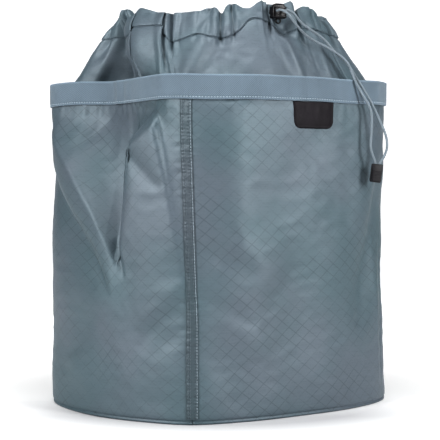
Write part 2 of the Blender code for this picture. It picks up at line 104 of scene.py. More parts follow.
SPRING_WIRE_RADIUS = 0.0002
SPRING_TURNS = 5
EYE_RADIUS = 0.0024
END_CENTRE = Vector((0.1648, -0.0575, 0.2480))
END_WIDTH = 0.0112
END_HEIGHT = 0.0190
END_DEPTH = 0.0070
END_TILT = math.radians(8)
END_TURN = math.radians(15)
END_STRAND_OFFSET = 0.0028
END_BORE_DEPTH = 0.0110
PATCH_FROM = 1.87
PATCH_TO = 2.74
PATCH_HEIGHT = 0.0270
ROUTE_LEFT = [
    (0.0690, -0.0945, 0.4095), (0.0765, -0.0915, 0.4010), (0.0850, -0.0815, 0.3925),
    (0.0961, -0.0700, 0.3856), (0.1162, -0.0645, 0.3757), (0.1329, -0.0625, 0.3634),
    (0.1403, -0.0640, 0.3468), (0.1480, -0.0635, 0.3317), (0.1580, -0.0625, 0.3137),
    (0.1594, -0.0615, 0.2949), (0.1588, -0.0600, 0.2745),
]
ROUTE_RIGHT = [
    (0.0765, -0.0905, 0.4090), (0.0840, -0.0865, 0.4005), (0.0946, -0.0760, 0.3945),
    (0.1087, -0.0665, 0.3859), (0.1216, -0.0605, 0.3729), (0.1333, -0.0578, 0.3630),
    (0.1445, -0.0605, 0.3448), (0.1591, -0.0600, 0.3209), (0.1730, -0.0585, 0.2915),
    (0.1760, -0.0575, 0.2765), (0.1730, -0.0570, 0.2655),
]

# --------------------------------------------------------------------- soft detail
SHEET_THICKNESS = 0.0005
STRIP_THICKNESS = 0.0009
BAND_THICKNESS = 0.0004
RIM_TAPE_THICKNESS = 0.0007
SEAM_TAPE_THICKNESS = 0.0006
BINDING_THICKNESS = 0.0012
PATCH_THICKNESS = 0.0011
CELL = 0.0026                   # size of the cloth meshes' faces
BASE_SEAM_ROWS = (0.0, 0.0006, 0.0012, 0.0018, 0.0024, 0.0030, 0.0036, 0.0044, 0.0058, 0.0085)
STRIP_WIDTH = 0.0112
STRIP_STANDOFF = 0.0013
STRIP_STITCH_ROWS = (-0.0034, -0.0018, 0.0026)
STRIP_EDGE_ROW = 0.0043
PATCH_CORNER = 0.0075
PATCH_STANDOFF = 0.0015
PATCH_RELIEF = 0.4              # how much of the wall's unevenness the patch follows
SEAM_GAP = 0.0002               # half the gap between the two body panels
HEM_THREAD_RADIUS = 0.00026
BAND_THREAD_RADIUS = 0.00036
LOCK_CORNER = 0.0030
LOCK_GROOVES = (-0.0042, -0.0026, 0.0028)
EYE_WIRE_RADIUS = 0.00085
BUTTON_CORNER = 0.0013
BUTTON_DOME = 0.0026            # height of the button's rounded top
END_CORNER = 0.0011
END_GROOVES = (-0.0052, -0.0030, -0.0008, 0.0014)
# The rim band's section: distance from its lower or upper edge, and out from the wall.
BAND_LOWER_EDGE = (
    (0.0, 0.0004), (0.0003, 0.0011), (0.0012, 0.0015), (0.0020, 0.0014), (0.0026, 0.0010),
    (0.0032, 0.0014),
)
BAND_UPPER_EDGE = (
    (0.0020, 0.0016), (0.0010, 0.0017), (0.0003, 0.0013), (0.0, 0.0007), (0.0001, 0.0001),
    (0.0010, -0.0002), (0.0040, 0.0001),
)
BAND_GROOVE = 4                 # the lower edge's point in which the stitching lies
STITCH_PITCH = 0.0030
STITCH_LENGTH = 0.0023
THREAD_RADIUS = 0.00022

# Folds of the body wall, as lines from top to bottom: two ends as (distance from the front
# seam, height), the width on the left and right of the line, and depth. Left of the seam the
# distance is negative. A positive depth stands out as a ridge.
WALL_FOLDS = [
    ((-0.040, 0.316), (-0.082, 0.284), 0.0110, 0.0026, -0.0075),
    ((-0.083, 0.296), (-0.087, 0.178), 0.0130, 0.0060, -0.0078),
    ((-0.092, 0.178), (-0.077, 0.148), 0.0050, 0.0024, -0.0040),
    ((-0.206, 0.262), (-0.109, 0.142), 0.0150, 0.0034, -0.0095),
    ((-0.127, 0.308), (-0.160, 0.276), 0.0040, 0.0060, -0.0030),
    ((-0.134, 0.314), (-0.150, 0.262), 0.0110, 0.0110, 0.0020),
    ((-0.082, 0.276), (-0.034, 0.236), 0.0050, 0.0060, -0.0034),
    ((-0.006, 0.124), (-0.050, 0.078), 0.0080, 0.0100, -0.0034),
    ((-0.004, 0.142), (-0.052, 0.100), 0.0080, 0.0080, 0.0020),
    ((-0.004, 0.098), (-0.038, 0.066), 0.0060, 0.0080, -0.0020),
    ((-0.088, 0.156), (-0.150, 0.040), 0.0120, 0.0120, 0.0030),
    ((-0.104, 0.120), (-0.176, 0.040), 0.0130, 0.0130, -0.0030),
    ((0.050, 0.330), (0.049, 0.166), 0.0290, 0.0190, 0.0074),
    ((0.050, 0.172), (0.092, 0.136), 0.0220, 0.0160, 0.0042),
    ((0.046, 0.146), (0.070, 0.070), 0.0280, 0.0150, 0.0026),
    ((0.006, 0.176), (0.064, 0.150), 0.0080, 0.0080, -0.0026),
    ((0.010, 0.126), (0.062, 0.098), 0.0070, 0.0090, -0.0024),
    ((0.040, 0.100), (0.100, 0.050), 0.0120, 0.0120, 0.0018),
    ((0.236, 0.250), (0.196, 0.100), 0.0090, 0.0150, -0.0075),
    ((0.222, 0.185), (0.232, 0.040), 0.0050, 0.0050, 0.0024),
    ((0.243, 0.170), (0.241, 0.030), 0.0025, 0.0025, -0.0024),
    ((0.110, 0.270), (0.180, 0.140), 0.0240, 0.0240, 0.0020),
    ((0.300, 0.300), (0.330, 0.120), 0.0160, 0.0160, -0.0032),
    ((0.350, 0.250), (0.400, 0.090), 0.0180, 0.0120, 0.0032),
    ((0.420, 0.310), (0.400, 0.180), 0.0120, 0.0080, -0.0034),
    ((0.455, 0.200), (0.470, 0.060), 0.0140, 0.0140, -0.0024),
    ((-0.300, 0.300), (-0.330, 0.150), 0.0150, 0.0080, -0.0034),
    ((-0.360, 0.230), (-0.410, 0.080), 0.0170, 0.0110, 0.0030),
    ((-0.430, 0.300), (-0.400, 0.200), 0.0120, 0.0080, -0.0030),
    ((-0.260, 0.150), (-0.300, 0.040), 0.0140, 0.0140, -0.0026),
]

# Gathers of the collar: direction from the mouth's middle in degrees, depth, half width at
# the mouth, and how far down the collar the fold runs (1 is all the way to its foot).
GATHERS = [
    (-176, 0.0090, 0.0045, 0.50), (-165, 0.0070, 0.0035, 0.40), (-159, 0.0065, 0.0022, 0.30),
    (-154.5, 0.0060, 0.0022, 0.35), (-117.5, 0.0075, 0.0036, 0.34), (-112.0, 0.0018, 0.0036, 0.20),
    (-101.5, 0.0014, 0.0034, 0.22), (-96.0, 0.0024, 0.0044, 0.26), (-90.5, 0.0060, 0.0036, 0.20),
    (-84.5, 0.0040, 0.0034, 0.20), (-65.0, 0.0060, 0.0020, 0.30), (-47, 0.0080, 0.0024, 0.40),
    (-34, 0.0035, 0.0020, 0.30), (-19, 0.0095, 0.0040, 0.60), (-13, 0.0050, 0.0022, 0.30),
]
BACK_GATHERS = 17               # evenly spread over the rest of the mouth, with some variety
BACK_FROM, BACK_TO = -6.0, 174.0
# Overlaps, where the cloth is laid over itself: direction, overlap (positive where the left
# layer is on top), height of the step, and how far down it runs.
OVERLAPS = [
    (-145.0, -0.0080, 0.0052, 1.0), (-122.5, 0.0070, 0.0046, 1.0), (-68.5, 0.0010, 0.0024, 0.45),
]
OVERLAP_HALF_WIDTH = 0.0035
# Height of the hem's top edge and stitch line above the floor, by direction in degrees.
HEM_TOP = [
    (-180, 0.4130), (-170, 0.4148), (-160, 0.4185), (-155, 0.4208), (-153, 0.4210), (-150.5, 0.4120),
    (-148, 0.4080), (-145.5, 0.4110), (-143, 0.4125), (-139.5, 0.4170), (-136, 0.4194),
    (-131, 0.4166), (-127, 0.4144), (-123, 0.4118), (-117, 0.4118), (-110, 0.4122),
    (-101, 0.4134), (-98, 0.4162), (-93, 0.4170), (-91, 0.4120), (-89.5, 0.4100), (-87.5, 0.4198),
    (-83, 0.4205), (-79.5, 0.4160), (-75, 0.4160), (-69, 0.4250), (-64, 0.4205), (-56, 0.4215),
    (-50, 0.4265), (-46.5, 0.4140), (-42, 0.4215), (-35, 0.4215), (-27, 0.4160), (-19, 0.4090),
    (-12, 0.4150), (-3, 0.4150), (6, 0.4195), (90, 0.4210), (180, 0.4130),
]
HEM_STITCH = [
    (-180, 0.3930), (-160, 0.3930), (-152, 0.3850), (-146, 0.3890), (-141, 0.3985), (-124, 0.3985),
    (-118, 0.3792), (-108, 0.3838), (-101, 0.3885), (-94, 0.3850), (-89, 0.3838), (-85.5, 0.3866),
    (-81.5, 0.3930), (-76.5, 0.4041), (-73.5, 0.4062), (-68, 0.4045), (-63, 0.3990), (-60, 0.3885),
    (-54, 0.3920), (-48, 0.3970), (-38, 0.3985), (-27, 0.3960), (-10, 0.3930), (180, 0.3930),
]
MOUTH_PER_DEGREE = 0.0021       # about the mouth's length for one degree of direction
# Folds of the collar, as the wall's, with the mouth's direction in degrees for the distance.
COLLAR_FOLDS = [
    ((-153, 0.402), (-153, 0.318), 0.0250, 0.0036, -0.0440),
    ((-157, 0.422), (-157, 0.396), 0.0080, 0.0060, 0.0040),
    ((-165, 0.396), (-176, 0.340), 0.0090, 0.0090, 0.0040),
    ((-147, 0.360), (-134, 0.328), 0.0120, 0.0120, -0.0080),
    ((-138, 0.416), (-139, 0.348), 0.0090, 0.0130, 0.0055),
    ((-62, 0.396), (-52, 0.346), 0.0060, 0.0040, 0.0040),
    ((-66, 0.398), (-60, 0.352), 0.0070, 0.0050, -0.0022),
    ((-42, 0.400), (-44, 0.346), 0.0050, 0.0040, -0.0046),
    ((-36, 0.396), (-38, 0.346), 0.0060, 0.0060, 0.0022),
    ((-89, 0.384), (-97, 0.346), 0.0060, 0.0090, -0.0052),
    ((-83, 0.398), (-88, 0.368), 0.0055, 0.0055, -0.0030),
    ((-96, 0.386), (-104, 0.346), 0.0090, 0.0060, 0.0034),
    ((-74, 0.398), (-79, 0.350), 0.0110, 0.0110, 0.0026),
    ((-112, 0.384), (-108, 0.350), 0.0080, 0.0100, -0.0030),
    ((-95, 0.419), (-100, 0.398), 0.0050, 0.0020, -0.0042),
    ((-94, 0.410), (-86, 0.396), 0.0030, 0.0050, -0.0036),
    ((-112, 0.408), (-104, 0.392), 0.0060, 0.0060, -0.0018),
    ((-30, 0.390), (-30, 0.350), 0.0070, 0.0070, -0.0024),
]

# --------------------------------------------------------------------- weaves and colours
RIPSTOP_PITCH = 0.0102
RIPSTOP_LINE = 0.00075
RIPSTOP_ANGLES = (43.0, -38.0)
WEAVE_PITCH = 0.00055
RIB_PITCH = 0.0019
CROSS_THREAD_PITCH = 0.0009
# The top edge's lightening is a painted highlight.
BAND_EDGE = 0.0022              # width of the rim band's lighter edges
BRAID_PITCH = 0.00131
SLATE = (0.083, 0.124, 0.143)
SLATE_VIOLET = (0.105, 0.130, 0.155)
WEBBING_BLUE = (0.192, 0.255, 0.312)
CORD_BLUE = (0.30, 0.36, 0.41)
BLACK = (0.006, 0.0055, 0.007)
BROWN_BLACK = (0.010, 0.009, 0.012)
PATCH_BROWN = (0.011, 0.0085, 0.012)

# --------------------------------------------------------------------- camera and light
CAMERA_AT = (0.0022, -1.3, 0.244)
CAMERA_DOWN = 2.06              # degrees below level
CAMERA_LENS = 97.6
LIGHTS = (                      # name, place, width, height, power
    ("key", (1.25, -0.98, 0.68), 0.36, 0.90, 22.0),
    ("fill", (-1.12, -1.05, 0.85), 0.50, 1.10, 25.5),
    ("top", (0.1, -0.5, 2.0), 0.90, 0.90, 24.0),
)
LIGHTS_AIM = Vector((0, 0, 0.2))
WORLD_STRENGTH = 0.10
GAMMA = 0.78
FLOOR_Z = -0.0004
# size of the painted contact shadow round the base, as its inverse half widths
PAINTED_SHADOW_REACH = (1 / 0.181, 1 / 0.136)
WHITE = (1.0, 1.0, 1.0)
PAPER = (0.78, 0.78, 0.78)
# darker paper of the painted shadow in front of the base
PAINTED_SHADOW_PAPER = (0.50, 0.50, 0.51)


# ------------------------------------------------------------------------- shape
def catmull_rom(outline, turn):
    index = np.floor(turn).astype(int)
    u = (turn - index)[..., None]
    a, b, c, d = (outline[(index + k) % AROUND] for k in (-1, 0, 1, 2))
    return 0.5 * (2 * b + (c - a) * u + (2 * a - 5 * b + 4 * c - d) * u**2 + (3 * b - a - 3 * c + d) * u**3)


def rim_share(turn, z):
    """How far the wall has gone over from the base outline to the rim outline."""
    start = np.interp(turn % AROUND, DENT_START[:, 0], DENT_START[:, 1])
    rise = (z - start) / (DENT_TO_Z - start)
    rise = np.clip(0.5 * (rise + np.sqrt(rise**2 + DENT_CREASE**2)), 0, 1)
    return 1 - (1 - rise) ** DENT_BOW


def wall_plan(turn, z):
    """Plan of the smooth wall at a height."""
    share = rim_share(turn, z)[..., None]
    plan = catmull_rom(BASE_OUTLINE, turn) * (1 - share) + catmull_rom(RIM_OUTLINE, turn) * share
    drawn_in = WAIST / PLAN_HALF_WIDTH * np.sin(np.pi * np.minimum(z / RIM_Z, 1.0))
    return plan * (1 - drawn_in)[..., None]


def wall_normal(turn, z, step=0.02):
    """Unit normals of the wall's plan, pointing outwards."""
    tangent = wall_plan(turn + step, z) - wall_plan(turn - step, z)
    normal = np.stack([tangent[..., 1], -tangent[..., 0]], -1)
    return normal / np.linalg.norm(normal, axis=-1, keepdims=True)


def off_wall(points, turn, z, stand):
    """Move points of the wall outwards, in place."""
    points[..., :2] += wall_normal(turn, z) * stand[..., None]


def arc_table(count=3200):
    """Distance along the rim from the front seam for each outline parameter."""
    turns = np.linspace(0, AROUND, count + 1)
    points = catmull_rom(RIM_OUTLINE, turns)
    steps = np.linalg.norm(np.diff(points, axis=0), axis=1)
    return turns, np.concatenate([[0.0], np.cumsum(steps)])


ARC_TURNS, ARC_LENGTHS = arc_table()
PERIMETER = ARC_LENGTHS[-1]


def turn_at(distance):
    """Outline parameter at a distance from the front seam, to either side."""
    return np.interp(distance % PERIMETER, ARC_LENGTHS, ARC_TURNS)


def distance_at(turn):
    return np.interp(turn % AROUND, ARC_TURNS, ARC_LENGTHS)


REAR_SEAM_AT = float(distance_at(8.0))


def wrapped(distance):
    """The same place as a distance from minus half to plus half the perimeter."""
    return (distance + PERIMETER / 2) % PERIMETER - PERIMETER / 2


# ------------------------------------------------------------------------- folds
def folds_at(x, z, folds):
    """Sum of a list of folds at points of a flat chart: rounded creases with pointed ends."""
    total = np.zeros_like(x + z)
    for (x0, z0), (x1, z1), left, right, depth in folds:
        length = math.hypot(x1 - x0, z1 - z0)
        ux, uz = (x1 - x0) / length, (z1 - z0) / length
        along = ((x - x0) * ux + (z - z0) * uz) / length
        across = (z - z0) * ux - (x - x0) * uz
        taper = np.clip(1 - ((np.clip(along, -0.15, 1.15) - 0.5) / 0.65) ** 2, 0, 1)
        width = np.where(across < 0, left, right) * (0.45 + 0.55 * taper)
        total += depth * taper / np.cosh(across / width)
    return total


def crumple(x, z, seed, longest, shortest, period=PERIMETER, waves=22):
    """A gentle, repeatable unevenness, mostly between -2 and 2, which closes round the bag."""
    random = np.random.default_rng(seed)
    total = np.zeros_like(x + z)
    for _ in range(waves):
        wavelength = math.exp(random.uniform(math.log(shortest), math.log(longest)))
        heading = random.uniform(0, math.pi)
        turns = round(period * math.cos(heading) / wavelength)
        phase = random.uniform(0, 2 * math.pi)
        total += np.sin(2 * math.pi * (turns * x / period + math.sin(heading) * z / wavelength) + phase)
    return total / math.sqrt(waves)


def wall_relief(distance, z):
    """How far the wall stands out from the smooth CAD wall."""
    x = wrapped(distance)
    free = np.clip(z / 0.02, 0, 1) * np.clip((RIM_Z - 0.0245 - z) / 0.006, 0, 1)
    near_band = np.exp(-np.clip(RIM_Z - WEBBING_WIDTH - z, 0, 1) / 0.009)
    from_seam = np.minimum(np.abs(x), np.abs(np.abs(x) - PERIMETER / 2))
    base_seam = 0.0012 * np.exp(-((z - 0.0030) / 0.0009) ** 2)
    near_seam = np.exp(-((from_seam - 0.006) / 0.008) ** 2)
    gathered = 0.35 + 0.65 * np.exp(-((x + 0.110) / 0.075) ** 2)
    relief = folds_at(x, z, WALL_FOLDS)
    relief += 0.0008 * crumple(x, z, 11, 0.160, 0.060)
    relief -= 0.00032 * np.abs(crumple(x, z, 23, 0.050, 0.018))
    relief += 0.0010 * gathered * near_band * crumple(x, z * 0.25, 5, 0.016, 0.008, waves=9)
    relief += 0.00035 * near_seam * crumple(x * 0.3, z, 31, 0.010, 0.006, waves=9)
    return relief * free - base_seam


def foot_turned_in(z):
    """How far the foot of the wall turns in under the bag."""
    return BASE_ROUND * (1 - np.minimum(z / BASE_ROUND_HEIGHT, 1.0)) ** 2


def wall(distance, z, offset=0.0, relief=1.0):
    """Points of the body wall's outside."""
    turn = turn_at(distance)
    distance, turn, z = np.broadcast_arrays(distance, turn, z)
    corner = CORNER_OUT * np.exp(-((turn - CORNER_TURN) / 0.9) ** 2 - (z / 0.06) ** 2)
    stand = offset - foot_turned_in(z) + corner + relief * wall_relief(distance, z)
    plan = wall_plan(turn, z) + wall_normal(turn, z) * stand[..., None]
    return np.concatenate([plan, z[..., None]], -1)


# ------------------------------------------------------------------------- collar
def mouth_at(angle):
    across = MOUTH_CENTRE_X + MOUTH_HALF_WIDTH * np.cos(angle)
    return np.stack([across, MOUTH_HALF_DEPTH * np.sin(angle)], -1)


def mouth_normal(angle):
    normal = np.stack([np.cos(angle) / MOUTH_HALF_WIDTH, np.sin(angle) / MOUTH_HALF_DEPTH], -1)
    return normal / np.linalg.norm(normal, axis=-1, keepdims=True)


def mouth_table(count=2880):
    angles = np.linspace(-math.pi, math.pi, count + 1)
    steps = np.linalg.norm(np.diff(mouth_at(angles), axis=0), axis=1)
    return angles, np.concatenate([[0.0], np.cumsum(steps)])


MOUTH_ANGLES, MOUTH_LENGTHS = mouth_table()
MOUTH_PERIMETER = MOUTH_LENGTHS[-1]


def foot_turn(angle):
    """Outline parameter below a direction from the mouth; the box pleat is set aslant."""
    turns = np.linspace(0, AROUND, 641)
    rim = catmull_rom(RIM_OUTLINE, turns)
    angles = np.unwrap(np.arctan2(rim[:, 1] / 0.128, rim[:, 0] / 0.182))
    below = np.interp((angle - angles[0]) % (2 * math.pi) + angles[0], angles, turns)
    degrees = np.degrees(angle)
    slant = 0.55 * np.exp(-((degrees + 127) / 24) ** 2) + 0.30 * np.exp(-((degrees + 119) / 8) ** 2)
    return below + slant


def all_gathers():
    """The named gathers, and smaller ones spread over the back of the mouth."""
    random = np.random.default_rng(7)
    gathers = list(GATHERS)
    for index in range(BACK_GATHERS):
        angle = BACK_FROM + (BACK_TO - BACK_FROM) * (index + random.uniform(0.25, 0.75)) / BACK_GATHERS
        depth = random.uniform(0.0055, 0.0105)
        gathers.append((angle, depth, random.uniform(0.0028, 0.0046), random.uniform(0.30, 0.75)))
    return gathers


def smooth_round(values, period, width):
    """Gaussian smoothing of values that climb by period once round."""
    count = len(values)
    slope = np.arange(count) / count * period
    spectrum = np.fft.rfft(values - slope)
    spectrum *= np.exp(-2 * (math.pi * width * np.arange(len(spectrum)) / count) ** 2)
    return np.fft.irfft(spectrum, count) + slope


class Collar:
    """The gathered collar as a grid of columns, each with its place at mouth and foot."""

    def __init__(self, columns):
        folds = [(a, depth, half, 0.0, reach) for a, depth, half, reach in all_gathers()]
        folds += [(a, step, OVERLAP_HALF_WIDTH, lap, reach) for a, lap, step, reach in OVERLAPS]
        places = []
        gained = np.zeros_like(MOUTH_LENGTHS)
        for degrees, depth, half, lap, reach in folds:
            centre = np.interp(math.radians(degrees), MOUTH_ANGLES, MOUTH_LENGTHS)
            extra = 2 * abs(lap) if lap else 2.1 * math.hypot(depth, half) - 2 * half
            share = np.clip((MOUTH_LENGTHS - centre) / (2 * half) + 0.5, 0, 1)
            gained += extra * share
            places.append((centre, extra))
        cloth = MOUTH_LENGTHS + gained
        self.cloth_width = cloth[-1]
        self.column = (np.arange(columns) + 0.5) / columns * self.cloth_width
        self.along = np.interp(self.column, cloth, MOUTH_LENGTHS)
        self.local = []
        random = np.random.default_rng(19)
        for (_, depth, half, lap, reach), (centre, extra) in zip(folds, places):
            middle = np.interp(centre, MOUTH_LENGTHS, cloth)
            half_way = self.cloth_width / 2
            across = (self.column - middle + half_way) % self.cloth_width - half_way
            slant = 0.0 if lap else random.uniform(-0.018, 0.018) / (half + extra / 2)
            spread = 0.0 if lap else random.uniform(0.8, 2.2)
            self.local.append((across / (half + extra / 2), slant, spread, depth, lap, reach))
        self.angle = np.interp(self.along, MOUTH_LENGTHS, MOUTH_ANGLES)
        self.turn = foot_turn(smooth_round(self.angle, 2 * math.pi, columns * 0.022))
        degrees = np.degrees(self.angle)
        self.top = smooth_round(np.interp(degrees, *zip(*HEM_TOP)), 0.0, columns * 0.0016)
        self.stitch = smooth_round(np.interp(degrees, *zip(*HEM_STITCH)), 0.0, columns * 0.0014)

    def heights(self, share):
        """Height for a row: 0 the foot, 1 the stitch line, 2 the top edge."""
        low = COLLAR_FOOT_Z + (self.stitch - COLLAR_FOOT_Z) * np.minimum(share, 1)
        return low + (self.top - self.stitch) * np.maximum(share - 1, 0)

    def uneven(self, z, seed, longest, shortest):
        return crumple(self.column, z, seed, longest, shortest, self.cloth_width)

    def outer(self, share, offset=0.0):
        """Points of the cloth's outside for one row."""
        z = self.heights(share)
        cone = (z - COLLAR_FOOT_Z) / (CORD_Z - COLLAR_FOOT_Z)
        cone = np.where(cone > 1, 1 + 0.15 * (cone - 1), cone)
        below = np.clip((self.stitch - z) / (self.stitch - COLLAR_FOOT_Z), 0, 1)
        hem = np.clip(share - 1, 0, 1)
        degrees = np.degrees(self.angle)
        fullness = 0.0028 - 0.0032 * np.cos(self.angle)
        radial = fullness * np.sin(np.pi * np.clip(cone, 0, 1) ** 1.6)
        shift = np.zeros_like(z)
        for across, slant, spread, depth, lap, reach in self.local:
            q = np.clip((across - slant * below) / (1 + spread * below), -1, 1)
            live = np.clip(1 - below / reach, 0, 1)
            live = live * live * (3 - 2 * live) if reach < 1 else 1 - 0.55 * below**2
            if lap:
                side = math.copysign(1, lap)
                radial -= side * live * 1.3 * depth * q * (1 - q**4)
                shift -= live * lap * np.sin(np.pi * q)
            else:
                radial -= live * depth * np.cos(np.pi * q / 2) ** 2
        chart = np.where(degrees > 90, degrees - 360, degrees)
        folds = []
        for (a, p), (b, q), left, right, depth in COLLAR_FOLDS:
            folds.append(((a * MOUTH_PER_DEGREE, p), (b * MOUTH_PER_DEGREE, q), left, right, depth))
        radial += self.bulges(degrees, z, below) + folds_at(chart * MOUTH_PER_DEGREE, z, folds)
        radial += 0.0009 * self.uneven(z, 41, 0.080, 0.030)
        radial -= 0.0004 * np.abs(self.uneven(z, 43, 0.030, 0.012))
        radial += 0.0014 * np.sin(np.pi * hem) + 0.0012 * hem * self.uneven(z * 0, 47, 0.030, 0.014)
        radial += 0.0011 * np.clip((z - self.stitch) / 0.0006, 0, 1) * (1 - 0.5 * hem)
        radial -= 0.0009 * np.exp(-((z - self.stitch + 0.0006) / 0.0010) ** 2)
        near_exit = np.exp(-((degrees - math.degrees(EXIT_TURN)) / 6.5) ** 4)
        near_exit = near_exit * np.exp(-((z - CORD_Z) / 0.0085) ** 4)
        radial = radial * (1 - near_exit)
        shift = shift * (1 - near_exit)
        return np.concatenate([self.plan(cone, offset, radial, shift), z[:, None]], -1)

    def plan(self, cone, offset, radial, shift):
        """Places between the collar's foot and the mouth, moved outwards and sideways."""
        angle = np.interp((self.along + shift) % MOUTH_PERIMETER, MOUTH_LENGTHS, MOUTH_ANGLES)
        z_foot = np.full_like(cone, COLLAR_FOOT_Z)
        foot_normal = wall_normal(self.turn, z_foot)
        foot = wall_plan(self.turn, z_foot) - COLLAR_FOOT_INSET * foot_normal
        cone = cone[:, None]
        blend = foot_normal * (1 - cone) + mouth_normal(angle) * cone
        blend /= np.linalg.norm(blend, axis=-1, keepdims=True)
        stand = offset + radial[:, None] * np.clip(cone * 4, 0, 1)
        return foot * (1 - cone) + mouth_at(angle) * cone + blend * stand

    def bulges(self, degrees, z, below):
        """The box pleat's raised face and the hollow under the cord lock."""
        face = 1 / (1 + np.exp(-(degrees + 146) / 1.2)) / (1 + np.exp((degrees + 122) / 1.2))
        raised = 0.0034 * face * (1 - 0.3 * below)
        under_lock = np.exp(-((degrees + 56.5) / 5.5) ** 4) * np.exp(-((z - 0.3975) / 0.0095) ** 4)
        return raised - 0.0120 * under_lock

    def facing(self, share):
        """The channel's inner layer: 0 at the top edge, 1 at the stitch line."""
        outer = self.outer(2 - share, -SHEET_THICKNESS - GAP)
        deep = math.sin(math.pi * share) ** 0.6
        ripple = np.clip(self.uneven(self.column * 0, 53, 0.026, 0.012), -1.5, 1.2)
        inset = 0.0174 - 0.0012 * ripple
        inner = mouth_at(self.angle) - mouth_normal(self.angle) * inset[:, None]
        plan = outer[:, :2] * (1 - deep) + inner * deep
        return np.concatenate([plan, outer[:, 2:]], -1)


# ------------------------------------------------------------------------- mesh helpers
def link(thing):
    bpy.context.scene.collection.objects.link(thing)
    return thing


def grid_object(name, points, chart=None, closed=False, thickness=0.0):
    """A smooth sheet from rows of points, with its flat chart in metres as a UV map."""
    rows, columns = points.shape[:2]
    if chart is None:
        chart = flat_chart(points)
    if closed:
        points = np.concatenate([points, points[:, :1]], 1)
        step = chart[:, -1:] - chart[:, -2:-1]
        chart = np.concatenate([chart, chart[:, -1:] + step], 1)
    wide = columns + 1 if closed else columns
    mesh = bpy.data.meshes.new(name)
    index = np.arange(rows * columns).reshape(rows, columns)
    if closed:
        index = np.concatenate([index, index[:, :1]], 1)
    quads = np.stack([index[:-1, :-1], index[:-1, 1:], index[1:, 1:], index[1:, :-1]], -1).reshape(-1, 4)
    mesh.from_pydata(points[:, :columns].reshape(-1, 3).tolist(), [], quads.tolist())
    place = np.arange(rows * wide).reshape(rows, wide)
    corners = np.stack([place[:-1, :-1], place[:-1, 1:], place[1:, 1:], place[1:, :-1]], -1).reshape(-1)
    layer = mesh.uv_layers.new(name="cloth")
    layer.data.foreach_set("uv", chart.reshape(-1, 2)[corners].ravel())
    mesh.shade_smooth()
    thing = link(bpy.data.objects.new(name, mesh))
    if thickness:
        modifier = thing.modifiers.new("thickness", "SOLIDIFY")
        modifier.thickness = thickness
        modifier.offset = -1
    return thing


def wall_sheet(name, points, distance, z, thickness, closed=False):
    """A sheet on the body wall, charted by distance from the front seam and height."""
    return grid_object(name, points, np.stack([distance, z], -1), closed, thickness)


def flat_chart(points):
    """Distances along the rows and columns of a grid, measured along its middle."""
    rows, columns = points.shape[:2]
    across = np.linalg.norm(np.diff(points[rows // 2], axis=0), axis=1)
    up = np.linalg.norm(np.diff(points[:, columns // 2], axis=0), axis=1)
    x = np.concatenate([[0.0], np.cumsum(across)])
    y = np.concatenate([[0.0], np.cumsum(up)])
    return np.stack(np.meshgrid(x, y), -1)


def from_bmesh(name, bm, smooth=True):
    """A linked object from a bmesh, which is freed."""
    mesh = bpy.data.meshes.new(name)
    bm.to_mesh(mesh)
    bm.free()
    if smooth:
        mesh.shade_smooth()
    return link(bpy.data.objects.new(name, mesh))


def skin(bm, rings):
    """Faces between rings of vertices, and across the first and the last."""
    for lower, upper in zip(rings, rings[1:]):
        for corners in zip(lower, lower[1:] + lower[:1], upper[1:] + upper[:1], upper):
            bm.faces.new(corners)
    bm.faces.new(rings[0][::-1])
    bm.faces.new(rings[-1])


def merge(name, things):
    """Join mesh objects into one piece."""
    bm = bmesh.new()
    for thing in things:
        bm.from_mesh(thing.data)
        bpy.data.objects.remove(thing)
    return from_bmesh(name, bm)


def tube_mesh(name, points, radius, sides=10):
    """A round tube along points, with its length and girth as a UV map in metres."""
    points = [Vector(p) for p in points]
    bm = bmesh.new()
    layer = bm.loops.layers.uv.new("cloth")
    side = (points[1] - points[0]).normalized().orthogonal().normalized()
    turns = [2 * math.pi * step / sides for step in range(sides)]
    length, rings, lengths = 0.0, [], []
    for index, point in enumerate(points):
        before, after = points[max(index - 1, 0)], points[min(index + 1, len(points) - 1)]
        tangent = (after - before).normalized()
        side = (side - tangent * side.dot(tangent)).normalized()
        other = tangent.cross(side)
        length += (point - before).length
        around = [side * math.cos(turn) + other * math.sin(turn) for turn in turns]
        rings.append([bm.verts.new(point + direction * radius) for direction in around])
        lengths.append(length)
    girth = 2 * math.pi * radius / sides
    for row in range(len(rings) - 1):
        for step in range(sides):
            corners = ((step, row), (step + 1, row), (step + 1, row + 1), (step, row + 1))
            face = bm.faces.new([rings[v][u % sides] for u, v in corners])
            face.smooth = True
            for loop, (u, v) in zip(face.loops, corners):
                loop[layer].uv = (u * girth, lengths[v])
    bm.faces.new(rings[0][::-1])
    bm.faces.new(rings[-1])
    bmesh.ops.recalc_face_normals(bm, faces=bm.faces)
    return from_bmesh(name, bm, smooth=False)


def smooth_route(route, step):
    """Evenly spaced points on a Catmull-Rom curve through the route."""
    points = [Vector(p) for p in route]
    ends = [2 * points[0] - points[1]] + points + [2 * points[-1] - points[-2]]
    fine = []
    for a, b, c, d in zip(ends, ends[1:], ends[2:], ends[3:]):
        for i in range(24):
            u = i / 24
            bent = (2 * a - 5 * b + 4 * c - d) * u**2 + (3 * b - a - 3 * c + d) * u**3
            fine.append(0.5 * (2 * b + (c - a) * u + bent))
    fine.append(points[-1])
    lengths = np.cumsum([0.0] + [(q - p).length for p, q in zip(fine, fine[1:])])
    wanted = np.linspace(0.0, lengths[-1], max(2, round(lengths[-1] / step)) + 1)
    columns = [np.interp(wanted, lengths, [p[axis] for p in fine]) for axis in range(3)]
    return [Vector(p) for p in zip(*columns)], float(lengths[-1])


